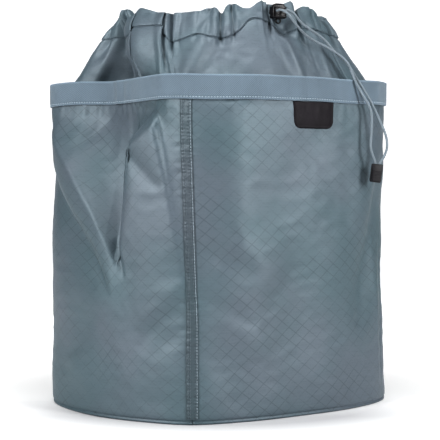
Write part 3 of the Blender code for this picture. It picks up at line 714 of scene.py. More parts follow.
def stitches(name, points, normals, radius=THREAD_RADIUS):
    """A row of separate thread stitches along points; each dips into the cloth at its ends."""
    steps = np.concatenate([[0.0], np.cumsum(np.linalg.norm(np.diff(points, axis=0), axis=1))])

    def at(values, place):
        return Vector([np.interp(place, steps, values[:, axis]) for axis in range(3)])

    count = max(1, int(steps[-1] / STITCH_PITCH))
    bm = bmesh.new()
    for index in range(count):
        middle = (index + 0.5) * steps[-1] / count
        rings = []
        for share, lift in zip(np.linspace(-0.5, 0.5, 4), (-0.8, 0.75, 0.75, -0.8)):
            place = middle + share * STITCH_LENGTH
            normal = at(normals, place).normalized()
            across = (at(points, place + 0.001) - at(points, place - 0.001)).cross(normal).normalized()
            centre = at(points, place) + normal * lift * radius
            turns = [math.pi * step / 3 for step in range(6)]
            around = [across * math.cos(turn) + normal * math.sin(turn) for turn in turns]
            rings.append([bm.verts.new(centre + direction * radius) for direction in around])
        skin(bm, rings)
    bmesh.ops.recalc_face_normals(bm, faces=bm.faces)
    return from_bmesh(name, bm)


# ------------------------------------------------------------------------- materials
class Nodes:
    """A short way to write node trees."""

    def __init__(self, name):
        self.material = bpy.data.materials.new(name)
        self.material.use_nodes = True
        self.tree = self.material.node_tree
        self.shader = self.tree.nodes["Principled BSDF"]

    def add(self, kind, settings=None, **inputs):
        node = self.tree.nodes.new(kind)
        for key, value in (settings or {}).items():
            setattr(node, key, value)
        for key, value in inputs.items():
            self.put(node.inputs[key.replace("_", " ")], value)
        return node

    def put(self, socket, value):
        """Link a socket, or set its value; a colour gets its alpha."""
        if isinstance(value, bpy.types.NodeSocket):
            self.tree.links.new(value, socket)
        elif socket.type == "RGBA":
            socket.default_value = (*value[:3], 1.0)
        else:
            socket.default_value = value

    def maths(self, operation, a, b=0.0):
        node = self.add("ShaderNodeMath", {"operation": operation})
        for socket, value in zip(node.inputs, (a, b)):
            self.put(socket, value)
        return node.outputs[0]

    def wave(self, coordinate, pitch):
        """A sine from -1 to 1 with the given pitch in metres."""
        return self.maths("SINE", self.maths("MULTIPLY", coordinate, 2 * math.pi / pitch))

    def place(self):
        return self.add("ShaderNodeTexCoord").outputs["Object"]

    def chart(self, turn=0.0):
        """The cloth's flat chart, turned, as separate X and Y sockets in metres."""
        source = self.add("ShaderNodeUVMap", {"uv_map": "cloth"}).outputs[0]
        turned = self.add("ShaderNodeMapping", Vector=source, Rotation=(0, 0, math.radians(turn)))
        split = self.add("ShaderNodeSeparateXYZ", Vector=turned.outputs[0])
        return split.outputs[0], split.outputs[1]

    def line(self, coordinate, spacing, width):
        """1 on a thin line every spacing, 0 between."""
        cycle = self.maths("FRACT", self.maths("DIVIDE", coordinate, spacing))
        off = self.maths("ABSOLUTE", self.maths("SUBTRACT", cycle, 0.5))
        edge = 0.5 * width / spacing
        step = self.add("ShaderNodeMapRange", {"interpolation_type": "SMOOTHSTEP"}, Value=off)
        self.put(step.inputs["From Min"], edge * 1.6)
        self.put(step.inputs["From Max"], edge * 0.4)
        return step.outputs[0]

    def noise(self, scale, detail=2.0):
        node = self.add("ShaderNodeTexNoise", Vector=self.place(), Scale=scale, Detail=detail)
        return node.outputs["Fac"]

    def mix(self, share, first, second):
        node = self.add("ShaderNodeMix", {"data_type": "RGBA"})
        self.put(node.inputs[0], share)
        self.put(node.inputs[6], first)
        self.put(node.inputs[7], second)
        return node.outputs[2]

    def spread(self, value, low, high, new_low=0.0, new_high=1.0):
        ends = {"From_Min": low, "From_Max": high, "To_Min": new_low, "To_Max": new_high}
        return self.add("ShaderNodeMapRange", Value=value, **ends).outputs[0]

    def mottled(self, noise, colour, low, high, width=0.2):
        """A colour that drifts between two strengths with a noise."""
        share = self.spread(noise, 0.5 - width, 0.5 + width)
        return self.mix(share, scaled(colour, low), scaled(colour, high))

    def finish(self, colour, roughness, height=None, distance=0.0002, strength=1.0, **plain):
        self.put(self.shader.inputs["Base Color"], colour)
        self.put(self.shader.inputs["Roughness"], roughness)
        for key, value in plain.items():
            self.put(self.shader.inputs[key.replace("_", " ")], value)
        if height is not None:
            bump = self.add("ShaderNodeBump", Height=height, Distance=distance, Strength=strength)
            self.put(self.shader.inputs["Normal"], bump.outputs[0])
        return self.material


def scaled(colour, factor):
    return tuple(channel * factor for channel in colour)


def ripstop(name, lines, tint=1.0):
    """Thin coated ripstop: fine plain weave, darker reinforcing lines, uneven tint."""
    n = Nodes(name)
    ribs = [n.line(n.chart(90.0 - angle)[0], RIPSTOP_PITCH, RIPSTOP_LINE) for angle in RIPSTOP_ANGLES]
    thick = n.maths("MAXIMUM", *ribs)
    patchy = n.spread(n.noise(22.0), 0.40, 0.60, 0.30, 1.0)
    mask = n.maths("MULTIPLY", n.maths("MULTIPLY", thick, patchy), lines)
    body = n.mix(n.spread(n.noise(9.0, 3.0), 0.38, 0.62), scaled(SLATE, tint), scaled(SLATE_VIOLET, tint))
    across, up = n.chart()
    weave = n.maths("MULTIPLY", n.wave(across, WEAVE_PITCH), n.wave(up, WEAVE_PITCH))
    fleck = n.spread(n.noise(800.0, 2.0), 0.3, 0.7, -0.10, 0.10)
    source = n.add("ShaderNodeUVMap", {"uv_map": "cloth"}).outputs[0]
    slub = n.add("ShaderNodeMapping", Vector=source, Scale=(55.0, 900.0, 1.0))
    streak = n.add("ShaderNodeTexNoise", Vector=slub.outputs[0], Scale=1.0, Detail=2.0)
    fleck = n.maths("ADD", fleck, n.spread(streak.outputs["Fac"], 0.3, 0.7, -0.13, 0.13))
    colour = n.mix(n.maths("ADD", mask, fleck), body, scaled(SLATE, 0.30))
    height = n.maths("ADD", n.maths("MULTIPLY", weave, 0.30), n.maths("MULTIPLY", thick, 0.7))
    rough = n.spread(n.noise(14.0, 2.0), 0.35, 0.65, 0.45, 0.52)
    return n.finish(colour, rough, height, 0.00006, 0.8, Specular_IOR_Level=0.85,
                    Specular_Tint=(0.84, 0.94, 1.0))


def webbing(name, tint=1.0, edge=0.0):
    """Woven tape: slanting ribs with fine cross threads, with painted shade in the weave's low places; if
    edge gives a width, the lower edge is lighter and the top edge has a painted highlight.
    """
    n = Nodes(name)
    across, up = n.chart()
    rib = n.wave(n.maths("ADD", across, n.maths("MULTIPLY", up, 0.9)), RIB_PITCH)
    threads = n.wave(up, CROSS_THREAD_PITCH)
    surface = n.maths("ADD", n.maths("MULTIPLY", rib, 0.7), n.maths("MULTIPLY", threads, 0.3))
    base = n.mottled(n.noise(30.0), WEBBING_BLUE, 0.94 * tint, 1.08 * tint, 0.15)
    # Painted shade: the weave's low places, between ribs and threads, are darker.
    colour = n.mix(n.spread(surface, -0.8, 0.8, 0.70, 0.0), base, scaled(WEBBING_BLUE, 0.40))
    if edge:
        low_edge = n.spread(up, 0.8 * edge, 1.2 * edge, 0.12, 0.0)
        # Painted highlight along the rolled top edge.
        top_edge_highlight = n.spread(up, WEBBING_WIDTH - 0.7 * edge, WEBBING_WIDTH, 0.0, 0.26)
        colour = n.mix(n.maths("MAXIMUM", low_edge, top_edge_highlight), colour, scaled(WEBBING_BLUE, 1.9))
    return n.finish(colour, 0.72, surface, 0.00022, 0.9, Sheen_Weight=0.25, Sheen_Roughness=0.4)


def braid(name):
    """Braided cord: two sets of strands wound against each other, with painted shade where they dip."""
    n = Nodes(name)
    girth, length = n.chart()
    wound = [n.wave(n.maths(sign, length, girth), BRAID_PITCH) for sign in ("ADD", "SUBTRACT")]
    surface = n.maths("MAXIMUM", *wound)
    # Painted shade: darker where the strands dip between each other.
    colour = n.mix(n.spread(surface, -0.6, 1.0, 0.75, 0.0), CORD_BLUE, scaled(CORD_BLUE, 0.45))
    return n.finish(colour, 0.62, surface, 0.00025, 1.0, Sheen_Weight=0.2)


def plastic(name, colour, rough, grain):
    """Moulded plastic with a fine spark-eroded grain and a few duller places."""
    n = Nodes(name)
    tone = n.mottled(n.noise(160.0), colour, 0.75, 1.35)
    duller = n.spread(n.noise(220.0, 3.0), 0.3, 0.7, rough - 0.06, rough + 0.10)
    return n.finish(tone, duller, n.noise(2600.0, 3.0), grain, 0.8, Specular_IOR_Level=0.35)


def rubber(name):
    """The patch: moulded soft rubber with a matt pebbled face."""
    n = Nodes(name)
    pebble = n.add("ShaderNodeTexVoronoi", Vector=n.place(), Scale=2200.0).outputs["Distance"]
    tone = n.mottled(n.noise(70.0), PATCH_BROWN, 0.85, 1.3)
    rough = n.spread(n.noise(300.0), 0.3, 0.7, 0.45, 0.55)
    return n.finish(tone, rough, pebble, 0.00004, 0.7, Specular_IOR_Level=0.18)


def metal(name, colour, rough):
    """Plated metal with faint turning marks and tarnish."""
    n = Nodes(name)
    tone = n.mottled(n.noise(400.0), colour, 0.8, 1.0, 0.15)
    worn = n.spread(n.noise(700.0), 0.3, 0.7, rough - 0.05, rough + 0.1)
    return n.finish(tone, worn, n.noise(1800.0), 0.00001, 0.6, Metallic=1.0)


def thread(name, colour):
    """Twisted sewing thread."""
    n = Nodes(name)
    strands = n.noise(4200.0)
    return n.finish(n.mottled(strands, colour, 0.8, 1.15, 0.15), 0.6, strands, 0.00005, 0.8)


MATERIALS = {
    "wall": ripstop("wall_ripstop", 0.46),
    "collar": ripstop("collar_ripstop", 0.14, 1.06),
    "lining": ripstop("base_fabric", 0.22, 0.80),
    "strip": ripstop("strip_fabric", 0.0, 0.62),
    "webbing": webbing("rim_webbing_weave", 1.0, BAND_EDGE),
    "binding": webbing("binding_weave", 0.8),
    "cord": braid("drawcord_braid"),
    "lock": plastic("lock_plastic", BLACK, 0.30, 0.00003),
    "cord_end": plastic("cord_end_plastic", BROWN_BLACK, 0.44, 0.00005),
    "patch": rubber("patch_rubber"),
    "eyelet": metal("eyelet_plating", (0.10, 0.10, 0.11), 0.38),
    "steel": metal("spring_steel", (0.55, 0.55, 0.57), 0.28),
    "thread": thread("slate_thread", (0.13, 0.165, 0.195)),
    "light_thread": thread("pale_thread", (0.42, 0.50, 0.56)),
}


def assign(thing, material):
    thing.data.materials.clear()
    thing.data.materials.append(material)


def piece(thing, material, slot, *nodes, body="bag"):
    """Finish a new piece: its material, the nodes it replaces and its body; slot is not used."""
    assign(thing, MATERIALS[material])
    if nodes:
        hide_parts(*nodes)
    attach(thing, body)


# ------------------------------------------------------------------------- stage
def make_camera():
    """The main view: level with the bag, from in front, and slightly downwards."""
    camera = link(bpy.data.objects.new("camera", bpy.data.cameras.new("camera")))
    camera.location = CAMERA_AT
    camera.rotation_euler = (math.radians(90 - CAMERA_DOWN), 0, 0)
    camera.data.lens = CAMERA_LENS
    camera.data.sensor_width = 36
    bpy.context.scene.camera = camera


def make_floor():
    """A paper sweep that glows a little by place, with a painted soft shadow in front of the bag's base:
    the paper is darker and glows less there.
    """
    half, front, wall_at, bend, height = 2.6, -2.4, 3.6, 0.8, 2.2
    profile = [(front, FLOOR_Z), (0.0, FLOOR_Z), (wall_at - bend, FLOOR_Z)]
    for step in range(1, 13):
        turn = math.pi / 2 * step / 12
        profile.append((wall_at - bend + bend * math.sin(turn), bend - bend * math.cos(turn)))
    profile.append((wall_at, height))
    points = np.array([[(x, y, z) for x in (-half, half)] for y, z in profile])
    floor = grid_object("floor", points)
    n = Nodes("studio_paper")
    y = n.add("ShaderNodeSeparateXYZ", Vector=n.place()).outputs[1]
    near = n.spread(y, -0.45, -0.18, 0.0, 0.18)
    far = n.spread(y, -0.10, 0.60, 0.0, 0.50)
    # Painted shadow: inside an ellipse round the base, in front of it, the paper is darker and its glow is
    # dimmed.
    by_base = n.add("ShaderNodeMapping", Vector=n.place(), Scale=(*PAINTED_SHADOW_REACH, 0.0)).outputs[0]
    from_base = n.add("ShaderNodeVectorMath", {"operation": "LENGTH"}, Vector=by_base)
    shade = n.spread(from_base.outputs["Value"], 0.97, 1.38, 1.0, 0.0)
    shade = n.maths("MULTIPLY", shade, n.spread(y, -0.09, 0.01, 1.0, 0.0))
    open_floor = n.maths("SUBTRACT", 1.0, shade)
    glow = n.maths("MULTIPLY", n.maths("ADD", near, far), open_floor)
    paper = n.mix(open_floor, PAINTED_SHADOW_PAPER, PAPER)
    assign(floor, n.finish(paper, 0.9, Emission_Color=WHITE, Emission_Strength=glow))


def make_lights():
    """A dim white world and three rectangular lights."""
    world = bpy.data.worlds.new("studio")
    bpy.context.scene.world = world
    world.use_nodes = True
    background = world.node_tree.nodes["Background"]
    background.inputs[0].default_value = (*WHITE, 1.0)
    background.inputs[1].default_value = WORLD_STRENGTH
    bpy.context.scene.view_settings.view_transform = "Standard"
    bpy.context.scene.view_settings.gamma = GAMMA
    for name, place, width, height, power in LIGHTS:
        light = link(bpy.data.objects.new(name, bpy.data.lights.new(name, "AREA")))
        light.data.shape = "RECTANGLE"
        light.data.size = width
        light.data.size_y = height
        light.data.energy = power
        light.location = place
        light.rotation_euler = (LIGHTS_AIM - Vector(place)).to_track_quat("-Z", "Y").to_euler()


# ------------------------------------------------------------------------- cords
def hem_frame(angle):
    """On the hem at the cord's height: local Y runs outwards, local X to the left, Z up."""
    x, y = mouth_at(np.array(angle))
    out = mouth_normal(np.array(angle))
    place = Matrix.Identity(4)
    place.col[0].xyz = (out[1], -out[0], 0.0)
    place.col[1].xyz = (out[0], out[1], 0.0)
    place.translation = (x, y, CORD_Z)
    return place


EXIT = hem_frame(EXIT_TURN)
LOCK = EXIT @ Matrix.Translation((0, LOCK_STANDOFF + LOCK_DEPTH / 2, 0))
END = (
    Matrix.Translation(END_CENTRE)
    @ Matrix.Rotation(END_TURN, 4, "Z")
    @ Matrix.Rotation(END_TILT, 4, "Y")
)
SIDES = (("left", 1, ROUTE_LEFT), ("right", -1, ROUTE_RIGHT))


def strand_route(side, route):
    """From the eyelet through the lock, along the given route, into the cord end."""
    straight = LOCK_STANDOFF + LOCK_DEPTH + LOCK_SLIDE
    start = []
    for share in (0.0, 0.35, 0.7, 1.0, 1.1):
        start.append(EXIT @ Vector((side * STRAND_OFFSET, share * straight, 0)))
    mouth = END_HEIGHT / 2
    heights = (mouth + 0.002, mouth - 0.004, mouth - END_BORE_DEPTH + GAP)
    return start + list(route) + [END @ Vector((-side * END_STRAND_OFFSET, 0, z)) for z in heights]


def rounded_rectangle(width, depth, corner):
    """Points round a rectangle with rounded corners, the same number whatever its size."""
    points = []
    for quarter, (sx, sy) in enumerate(((1, 1), (-1, 1), (-1, -1), (1, -1))):
        cx, cy = sx * (width / 2 - corner), sy * (depth / 2 - corner)
        for step in range(7):
            turn = math.pi / 2 * (quarter + step / 6)
            points.append((cx + corner * math.cos(turn), cy + corner * math.sin(turn)))
    return points


def moulded(name, rings, place):
    """A solid through rounded rectangles, each given as width, depth, height and corner."""
    bm = bmesh.new()
    loops = []
    for width, depth, z, corner in rings:
        loops.append([bm.verts.new((x, y, z)) for x, y in rounded_rectangle(width, depth, corner)])
    skin(bm, loops)
    bmesh.ops.recalc_face_normals(bm, faces=bm.faces)
    thing = from_bmesh(name, bm, smooth=False)
    thing.matrix_world = place
    return thing


def rounded_end(width, depth, z, corner, rounding, upwards, steps=5):
    """Rings which round off the end of a moulded block; the last one is the narrowest."""
    rings = []
    for step in range(steps + 1):
        turn = math.pi / 2 * step / steps
        inset = rounding * (1 - math.cos(turn))
        height = z + (1 if upwards else -1) * (rounding * math.sin(turn) - rounding)
        rings.append((width - 2 * inset, depth - 2 * inset, height, max(corner - 0.6 * inset, 0.0002)))
    return rings


def grooved(width, depth, corner, levels, deep=0.0004, half=0.0004):
    """Rings of a block's side with shallow grooves round it at some levels."""
    rings = []
    for level in sorted(levels):
        for rise, share in ((-1.3, 0.0), (-0.7, 0.8), (0.0, 1.0), (0.7, 0.8), (1.3, 0.0)):
            cut = 2 * deep * share
            rings.append((width - cut, depth - cut, level + rise * half, corner))
    return rings


def bore(name, radius, start, end, place):
    """A hidden cutter along a line of the given frame."""
    start, end = Vector(start), Vector(end)
    cutter = tube_mesh(name, [start, (start + end) / 2, end], radius, 20)
    cutter.matrix_world = place
    return cutter


def apply_cuts(thing, cutters):
    for cutter in cutters:
        modifier = thing.modifiers.new("cut", "BOOLEAN")
        modifier.operation = "DIFFERENCE"
        modifier.object = cutter
    bake_modifiers(thing)
    for cutter in cutters:
        bpy.data.objects.remove(cutter)


def bake_modifiers(thing):
    """Replace the mesh by what its modifiers make of it, smooth but for sharp edges."""
    bpy.context.view_layer.update()
    evaluated = thing.evaluated_get(bpy.context.evaluated_depsgraph_get())
    mesh = bpy.data.meshes.new_from_object(evaluated)
    thing.modifiers.clear()
    thing.data = mesh
    mesh.shade_smooth()
    mesh.set_sharp_from_angle(angle=math.radians(50))
    return thing


def make_cord_end():
    """Two half shells with a parting groove between them, rounded ends and grip grooves."""
    shells = []
    half = (END_DEPTH - GAP) / 2
    low, high, corner = -END_HEIGHT / 2, END_HEIGHT / 2, END_CORNER
    for name, face in (("front", -1), ("back", 1)):
        place = END @ Matrix.Translation((0, face * (GAP + half) / 2, 0))
        rings = rounded_end(END_WIDTH * 0.94, half, low, corner, 0.0014, False)[::-1]
        rings += grooved(END_WIDTH, half, corner, END_GROOVES)
        rings += rounded_end(END_WIDTH * 0.97, half, high, corner, 0.0010, True)
        shell = moulded("cord_end_" + name, rings, place)
        cutters = []
        for side in (-END_STRAND_OFFSET, END_STRAND_OFFSET):
            start = (side, -face * (GAP + half) / 2, high - END_BORE_DEPTH)
            end = (side, -face * (GAP + half) / 2, END_HEIGHT)
            cutters.append(bore("end_bore", CORD_RADIUS + GAP, start, end, place))
        apply_cuts(shell, cutters)
        piece(shell, "cord_end", "cord_end_plastic", "cord_end_" + name + "_shell")
        shells.append(shell)
    return shells


def make_cords(collar):
    """The two strands, with the cord end at their lower ends, and the cord inside the channel."""
    shells = make_cord_end()
    for name, side, route in SIDES:
        points, length = smooth_route(strand_route(side, route), 0.0016)
        strand = tube_mesh("drawcord_strand_" + name, points, CORD_RADIUS, 12)
        piece(strand, "cord", "drawcord", "drawcord_tail_" + name)
    loop = tube_mesh("drawcord_in_channel", loop_points(collar), CORD_RADIUS, 10)
    piece(loop, "cord", "drawcord", "drawcord_loop")


def loop_points(collar):
    """The cord inside the channel, from one eyelet round to the other."""
    clear = 0.145
    turns = np.linspace(EXIT_TURN - clear, EXIT_TURN + clear - 2 * math.pi, 150)
    folded = (turns + math.pi) % (2 * math.pi) - math.pi
    order = np.argsort(collar.angle)
    z = np.interp(folded, collar.angle[order], ((collar.top + collar.stitch) / 2)[order])
    z = smooth_round(z, 0.0, 3.0)
    near = np.exp(-(np.minimum(np.arange(150), 149 - np.arange(150)) / 9.0) ** 2)
    z = z * (1 - near) + CORD_Z * near
    inset = 0.0130 * (1 - near) + 0.0056 * near
    inner = mouth_at(turns) - mouth_normal(turns) * inset[:, None]
    ring = [Vector((x, y, height)) for (x, y), height in zip(inner, z)]
    starts = []
    for side in (1, -1):
        starts.append([EXIT @ Vector((side * STRAND_OFFSET, y, 0)) for y in (-0.0003, -0.0022)])
    route = starts[0] + ring + starts[1][::-1]
    points, _ = smooth_route(route[:2] + route[2:-2:3] + route[-2:], 0.0025)
    return points


# ------------------------------------------------------------------------- lock
def make_lock():
    """The barrel with its eye, the button with its slots, the spring, and the plated eyelets."""
    inside = (LOCK_WIDTH - 2 * LOCK_WALL, LOCK_DEPTH - 2 * LOCK_WALL)
    rings = rounded_end(LOCK_WIDTH, LOCK_DEPTH, LOCK_BOTTOM, LOCK_CORNER, 0.0020, False)[::-1]
    rings += grooved(LOCK_WIDTH, LOCK_DEPTH, LOCK_CORNER, LOCK_GROOVES)
    rings += rounded_end(LOCK_WIDTH, LOCK_DEPTH, LOCK_TOP, LOCK_CORNER, 0.0006, True, 3)
    for z in (LOCK_TOP - 0.0002, LOCK_TOP - 0.0012, LOCK_FLOOR):
        rings.append((*inside, z, 0.0016))
    barrel = moulded("lock_barrel", rings, LOCK)
    cutters = []
    for side in (1, -1):
        start, end = (side * STRAND_OFFSET, -LOCK_DEPTH, 0), (side * STRAND_OFFSET, LOCK_DEPTH, 0)
        cutters.append(bore("lock_bore", CORD_RADIUS + GAP, start, end, LOCK))
    apply_cuts(barrel, cutters)
    piece(barrel, "lock", "lock_plastic", "lock_body", body="lock")

    below = LOCK @ Matrix.Translation((0, 0, LOCK_BOTTOM - EYE_RADIUS + 0.0002))
    ring = []
    for step in range(29):
        turn = math.radians(90 + 360 * step / 28)
        ring.append(below @ Vector((EYE_RADIUS * math.cos(turn), 0, EYE_RADIUS * math.sin(turn))))
    eye = tube_mesh("lock_eye", ring, EYE_WIRE_RADIUS, 12)
    piece(eye, "lock", "lock_plastic", body="lock")

    width, depth = inside[0] - 2 * GAP, inside[1] - 2 * GAP
    shoulder = PLUNGER_TOP - BUTTON_DOME
    rings = [(width, depth, z, BUTTON_CORNER) for z in (PLUNGER_FOOT, 0.0, 0.0030, shoulder)]
    for step in range(1, 8):
        turn = math.pi / 2 * step / 8
        narrow = math.cos(turn) ** 0.7
        z = shoulder + BUTTON_DOME * math.sin(turn)
        rings.append((width * narrow, depth * narrow, z, BUTTON_CORNER * narrow))
    button = moulded("lock_button", rings, LOCK)
    cutters = []
    radius = CORD_RADIUS + GAP
    slot = [(2 * radius, 2 * radius + 0.0030, z, radius * 0.98) for z in (-LOCK_DEPTH, LOCK_DEPTH)]
    for side in (1, -1):
        turned = LOCK @ Matrix.Translation((side * STRAND_OFFSET, 0, 0.0015))
        turned = turned @ Matrix.Rotation(math.pi / 2, 4, "X")
        cutters.append(moulded("button_slot", slot, turned))
    pocket = ((0, 0, LOCK_FLOOR), (0, 0, SPRING_POCKET_TOP))
    cutters.append(bore("spring_pocket", SPRING_POCKET_RADIUS, *pocket, LOCK))
    apply_cuts(button, cutters)
    piece(button, "lock", "lock_plastic", "lock_plunger", body="plunger")
    make_spring()
    for name in ("eyelet_left", "eyelet_right", "eyelet_washer_left", "eyelet_washer_right"):
        assign(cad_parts[name], MATERIALS["eyelet"])


def make_spring():
    """The coil spring under the button."""
    low = LOCK_FLOOR + GAP + SPRING_WIRE_RADIUS
    high = SPRING_POCKET_TOP - GAP - SPRING_WIRE_RADIUS
    points = []
    for share in np.linspace(0, 1, 20 * SPRING_TURNS + 1):
        turn = 2 * math.pi * SPRING_TURNS * share
        across, deep = SPRING_RADIUS * math.cos(turn), SPRING_RADIUS * math.sin(turn)
        points.append(LOCK @ Vector((across, deep, low + (high - low) * share)))
    spring = tube_mesh("lock_spring_coil", points, SPRING_WIRE_RADIUS, 8)
    piece(spring, "steel", "spring_steel", "lock_spring", body="lock")
    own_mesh(spring)


# ------------------------------------------------------------------------- body
def row_heights(low, high, step, *fine):
    """Evenly spaced heights, with a few extra ones."""
    rows = list(np.linspace(low, high, int((high - low) / step) + 1)) + list(fine)
    return np.array(sorted(rows))


def make_panels():
    rows = row_heights(0.012, RIM_Z - 0.0006, CELL, *BASE_SEAM_ROWS)
    for name, start, end in (
        ("body_panel_right", SEAM_GAP, REAR_SEAM_AT - SEAM_GAP),
        ("body_panel_left", REAR_SEAM_AT + SEAM_GAP, PERIMETER - SEAM_GAP),
    ):
        columns = np.linspace(start, end, int((end - start) / CELL))
        dent = np.linspace(PERIMETER - 0.118, PERIMETER - 0.068, 42)
        columns = np.union1d(columns, dent[(dent > start) & (dent < end)])
        distance, z = np.meshgrid(columns, rows)
        panel = wall_sheet(name + "_cloth", wall(distance, z), distance, z, SHEET_THICKNESS)
        piece(panel, "wall", "ripstop", name)


def strip_points(seam, distance, z):
    """A seam strip's outside, rounded off at its sides and rippled where it is sewn."""
    across = np.abs(distance - seam) / (STRIP_WIDTH / 2)
    ladder = 0.00045 * np.sin(2 * np.pi * z / 0.0036) * np.exp(-((across - 0.55) / 0.22) ** 2)
    points = wall(distance, z, STRIP_STANDOFF)
    off_wall(points, turn_at(distance), z, ladder - 0.0004 * across**6)
    return points


def strip_row(name, seam, side, rows):
    """One row of stitches along a seam strip, side metres from its seam."""
    line = wall(np.full_like(rows, seam + side), rows, STRIP_STANDOFF)
    outer = wall(np.full_like(rows, seam + side), rows, STRIP_STANDOFF + 0.001)
    return stitches(name, line, outer - line)


def make_strips():
    half, top = STRIP_WIDTH / 2, RIM_Z - WEBBING_WIDTH
    for name, seam in (("front_seam_strip", 0.0), ("rear_seam_strip", REAR_SEAM_AT)):
        rows = np.linspace(0.0050, top - GAP, 400)
        distance, z = np.meshgrid(np.linspace(seam - half, seam + half, 13), rows)
        points = strip_points(seam, distance, z)
        strip = wall_sheet(name + "_cloth", points, distance, z, STRIP_THICKNESS)
        piece(strip, "strip", "seam_strip", name)
        rows = np.linspace(0.0060, top - 0.001, 260)
        ladder = [strip_row("row", seam, side, rows) for side in STRIP_STITCH_ROWS]
        piece(merge(name + "_stitching", ladder), "thread", "seam_strip")
        edge = strip_row(name + "_edge_stitching", seam, STRIP_EDGE_ROW, rows)
        piece(edge, "light_thread", "seam_strip")


def make_rim():
    """The webbing band with rolled edges, its stitching, and the tape inside it."""
    count = int(PERIMETER / 0.002)
    columns = np.arange(count) / count * PERIMETER
    low, high = RIM_Z - WEBBING_WIDTH, RIM_Z
    section = [(low + up, out) for up, out in BAND_LOWER_EDGE]
    section += [(float(z), 0.0015) for z in np.linspace(low + 0.0045, high - 0.0032, 9)]
    section += [(high - down, out) for down, out in BAND_UPPER_EDGE]
    level = columns * 0
    wave = np.abs(0.0010 * crumple(columns, level, 61, 0.090, 0.022))
    sway = 0.0008 * crumple(columns, level, 67, 0.200, 0.070)
    rows = []
    for z, out in section:
        point = wall(columns, level + z, GAP + out, 0.0)
        off_wall(point, turn_at(columns), level + z + sway, wave + band_crease(columns))
        point[:, 2] = level + z + sway
        rows.append(point)
    points = np.array(rows)
    steps = [math.dist(here, following) for here, following in zip(section, section[1:])]
    chart = np.stack(np.meshgrid(columns, np.cumsum([0.0] + steps)), -1)
    band = grid_object("rim_webbing_band", points, chart, closed=True, thickness=BAND_THICKNESS)
    piece(band, "webbing", "webbing", "rim_webbing")
    line = np.concatenate([points[BAND_GROOVE], points[BAND_GROOVE, :1]])
    groove_z = low + BAND_LOWER_EDGE[BAND_GROOVE][0]
    normals = line - wall(np.append(columns, 0.0), np.full(count + 1, groove_z), -0.002, 0.0)
    normals[:, 2] = 0
    sewn = stitches("rim_webbing_stitching", line, normals, BAND_THREAD_RADIUS)
    piece(sewn, "light_thread", "webbing")

    distance, z = np.meshgrid(columns, np.linspace(DENT_TO_Z + GAP, COLLAR_FOOT_Z - 3 * GAP, 6))
    inner = wall(distance, z, -0.0014)
    tape = wall_sheet("rim_inner_tape_weave", inner, distance, z, RIM_TAPE_THICKNESS, closed=True)
    piece(tape, "binding", "webbing", "rim_inner_tape")


def band_crease(distance):
    """The band is bent sharply at the dent's corner."""
    x = wrapped(distance)
    return 0.0016 * np.exp(-np.abs(x + 0.112) / 0.004) - 0.0010 * np.exp(-((x + 0.124) / 0.006) ** 2)


def make_patch():
    """A blank moulded patch with a raised border, whose lower corners are rounded."""
    start, end = float(distance_at(PATCH_FROM)), float(distance_at(PATCH_TO))
    half, corner = (end - start) / 2, PATCH_CORNER
    u, v = np.meshgrid(np.linspace(-1, 1, 45), np.linspace(0, 1, 30))
    drop = v * PATCH_HEIGHT
    cut_back = np.clip(drop - (PATCH_HEIGHT - corner), 0, corner)
    narrowed = half - (corner - np.sqrt(np.maximum(corner**2 - cut_back**2, 0))) - 0.0006 * v
    distance = (start + end) / 2 + u * narrowed
    z = RIM_Z - WEBBING_WIDTH - GAP - drop
    to_edge = np.minimum(half - np.abs(u) * half, PATCH_HEIGHT - drop)
    border = 0.00050 * np.exp(-((to_edge - 0.0012) / 0.0006) ** 2)
    border -= 0.00035 * np.exp(-((to_edge - 0.0024) / 0.0005) ** 2)
    rounding = -0.0009 * np.exp(-to_edge / 0.0004)
    points = wall(distance, z, relief=PATCH_RELIEF)
    off_wall(points, turn_at(distance), z, PATCH_STANDOFF + border + rounding)
    patch = grid_object("blank_patch_rubber", points[::-1], thickness=PATCH_THICKNESS)
    piece(patch, "patch", "patch", "blank_patch")


def make_base():
    """The floor of the bag, slightly uneven, and the bound seam round it."""
    count = int(PERIMETER / 0.004)
    columns = np.arange(count) / count * PERIMETER
    edge = wall(columns, np.zeros(count), -0.0042 + BASE_ROUND, 0.0)
    rings = []
    for share in np.linspace(1.0, 0.04, 40):
        x, y = edge[:, 0] * share, edge[:, 1] * share
        rise = 0.0009 + 0.0012 * np.clip((1 - share) / 0.1, 0, 1)
        uneven = crumple(x, y, 71, 0.120, 0.045, 1.0)
        z = rise * (1 + 0.45 * np.clip((1 - share) / 0.2, 0, 1) * uneven)
        rings.append(np.stack([x, y, z], -1))
    points = np.array(rings)
    base = grid_object("base_cloth", points, points[..., :2], closed=True, thickness=SHEET_THICKNESS)
    cap_hole(base, len(rings) - 1, count)
    piece(base, "lining", "base_fabric", "base_panel")

    distance, z = np.meshgrid(columns, np.linspace(0.0016, 0.0068, 5))
    inner = wall(distance, z, foot_turned_in(z) - 0.0044, 0.0)
    binding = wall_sheet("base_binding_weave", inner, distance, z, BINDING_THICKNESS, closed=True)
    piece(binding, "binding", "binding", "base_seam_binding")


def cap_hole(thing, ring, count):
    """Close a ringed sheet's middle with a fan."""
    bm = bmesh.new()
    bm.from_mesh(thing.data)
    bm.verts.ensure_lookup_table()
    last = [bm.verts[ring * count + i] for i in range(count)]
    layer = bm.loops.layers.uv.active
    middle = bm.verts.new(sum((v.co for v in last), Vector()) / count)
    for here, following in zip(last, last[1:] + last[:1]):
        face = bm.faces.new((here, following, middle))
        face.smooth = True
        for loop in face.loops:
            loop[layer].uv = loop.vert.co.xy
    bm.to_mesh(thing.data)
    bm.free()


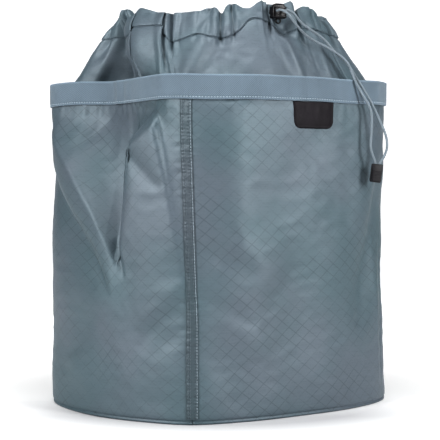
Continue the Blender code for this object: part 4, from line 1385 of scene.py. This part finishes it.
# ------------------------------------------------------------------------- collar pieces
def make_collar(collar):
    """The two halves of the gathered collar, each with the inner layer of its hem channel."""
    shares = list(np.linspace(0, 0.955, 34)) + [0.972, 0.984, 0.992, 1.0, 1.012, 1.03, 1.06]
    shares += list(np.linspace(1.12, 1.94, 11)) + [1.975, 2.0]
    rows = np.array([collar.outer(share) for share in shares])
    facing_rows = np.array([collar.facing(share) for share in np.linspace(0.0, 0.93, 22)])
    heights = np.array([collar.heights(share) for share in shares])
    columns = len(collar.column)
    turns = collar.turn % AROUND
    right_seam = nearest_column(turns, COLLAR_SEAM_RIGHT)
    left_seam = nearest_column(turns, COLLAR_SEAM_LEFT)
    for side, start, end in (("front", left_seam, right_seam), ("back", right_seam, left_seam)):
        picked = np.arange(start, end + 1 + (columns if end < start else 0)) % columns
        wide = np.arange(len(picked)) * collar.cloth_width / columns
        chart_x = np.broadcast_to(wide, (len(shares), len(wide)))
        chart = np.stack([chart_x, heights[:, picked] * 1.25], -1)
        name = "collar_" + side
        cloth = grid_object(name + "_cloth", rows[:, picked], chart, thickness=SHEET_THICKNESS)
        piece(cloth, "collar", "collar_fabric", name + "_panel")
        inner = facing_rows[:, picked]
        chart = np.stack(np.meshgrid(wide, np.linspace(0, 0.03, len(inner))), -1)
        name = "channel_facing_" + side
        facing = grid_object(name + "_cloth", inner, chart, thickness=SHEET_THICKNESS)
        piece(facing, "collar", "collar_fabric", name)
    sew_collar(collar, right_seam, left_seam)


def nearest_column(turns, wanted):
    """The column whose place round the bag is nearest to the wanted one."""
    apart = np.abs((turns - wanted + AROUND / 2) % AROUND - AROUND / 2)
    return int(np.argmin(apart))


def sew_collar(collar, right_seam, left_seam):
    """The hem's row of stitches, and the tapes inside the collar's two seams."""
    line, outer = collar.outer(0.997), collar.outer(0.997, 0.001)
    line, outer = np.concatenate([line, line[:1]]), np.concatenate([outer, outer[:1]])
    sewn = stitches("hem_stitching", line, outer - line, HEM_THREAD_RADIUS)
    piece(sewn, "thread", "collar_fabric")
    inside = -SHEET_THICKNESS - 2 * GAP
    for side, seam in (("right", right_seam), ("left", left_seam)):
        name = "collar_seam_tape_" + side
        picked = np.arange(seam - 3, seam + 4) % len(collar.column)
        rows = [collar.outer(share, inside)[picked] for share in np.linspace(0.05, 0.95, 40)]
        tape = grid_object(name + "_weave", np.array(rows), thickness=SEAM_TAPE_THICKNESS)
        piece(tape, "binding", "webbing", name)


collar = Collar(430)
make_camera()
make_floor()
make_lights()
make_cords(collar)
make_lock()
make_panels()
make_strips()
make_rim()
make_patch()
make_base()
make_collar(collar)
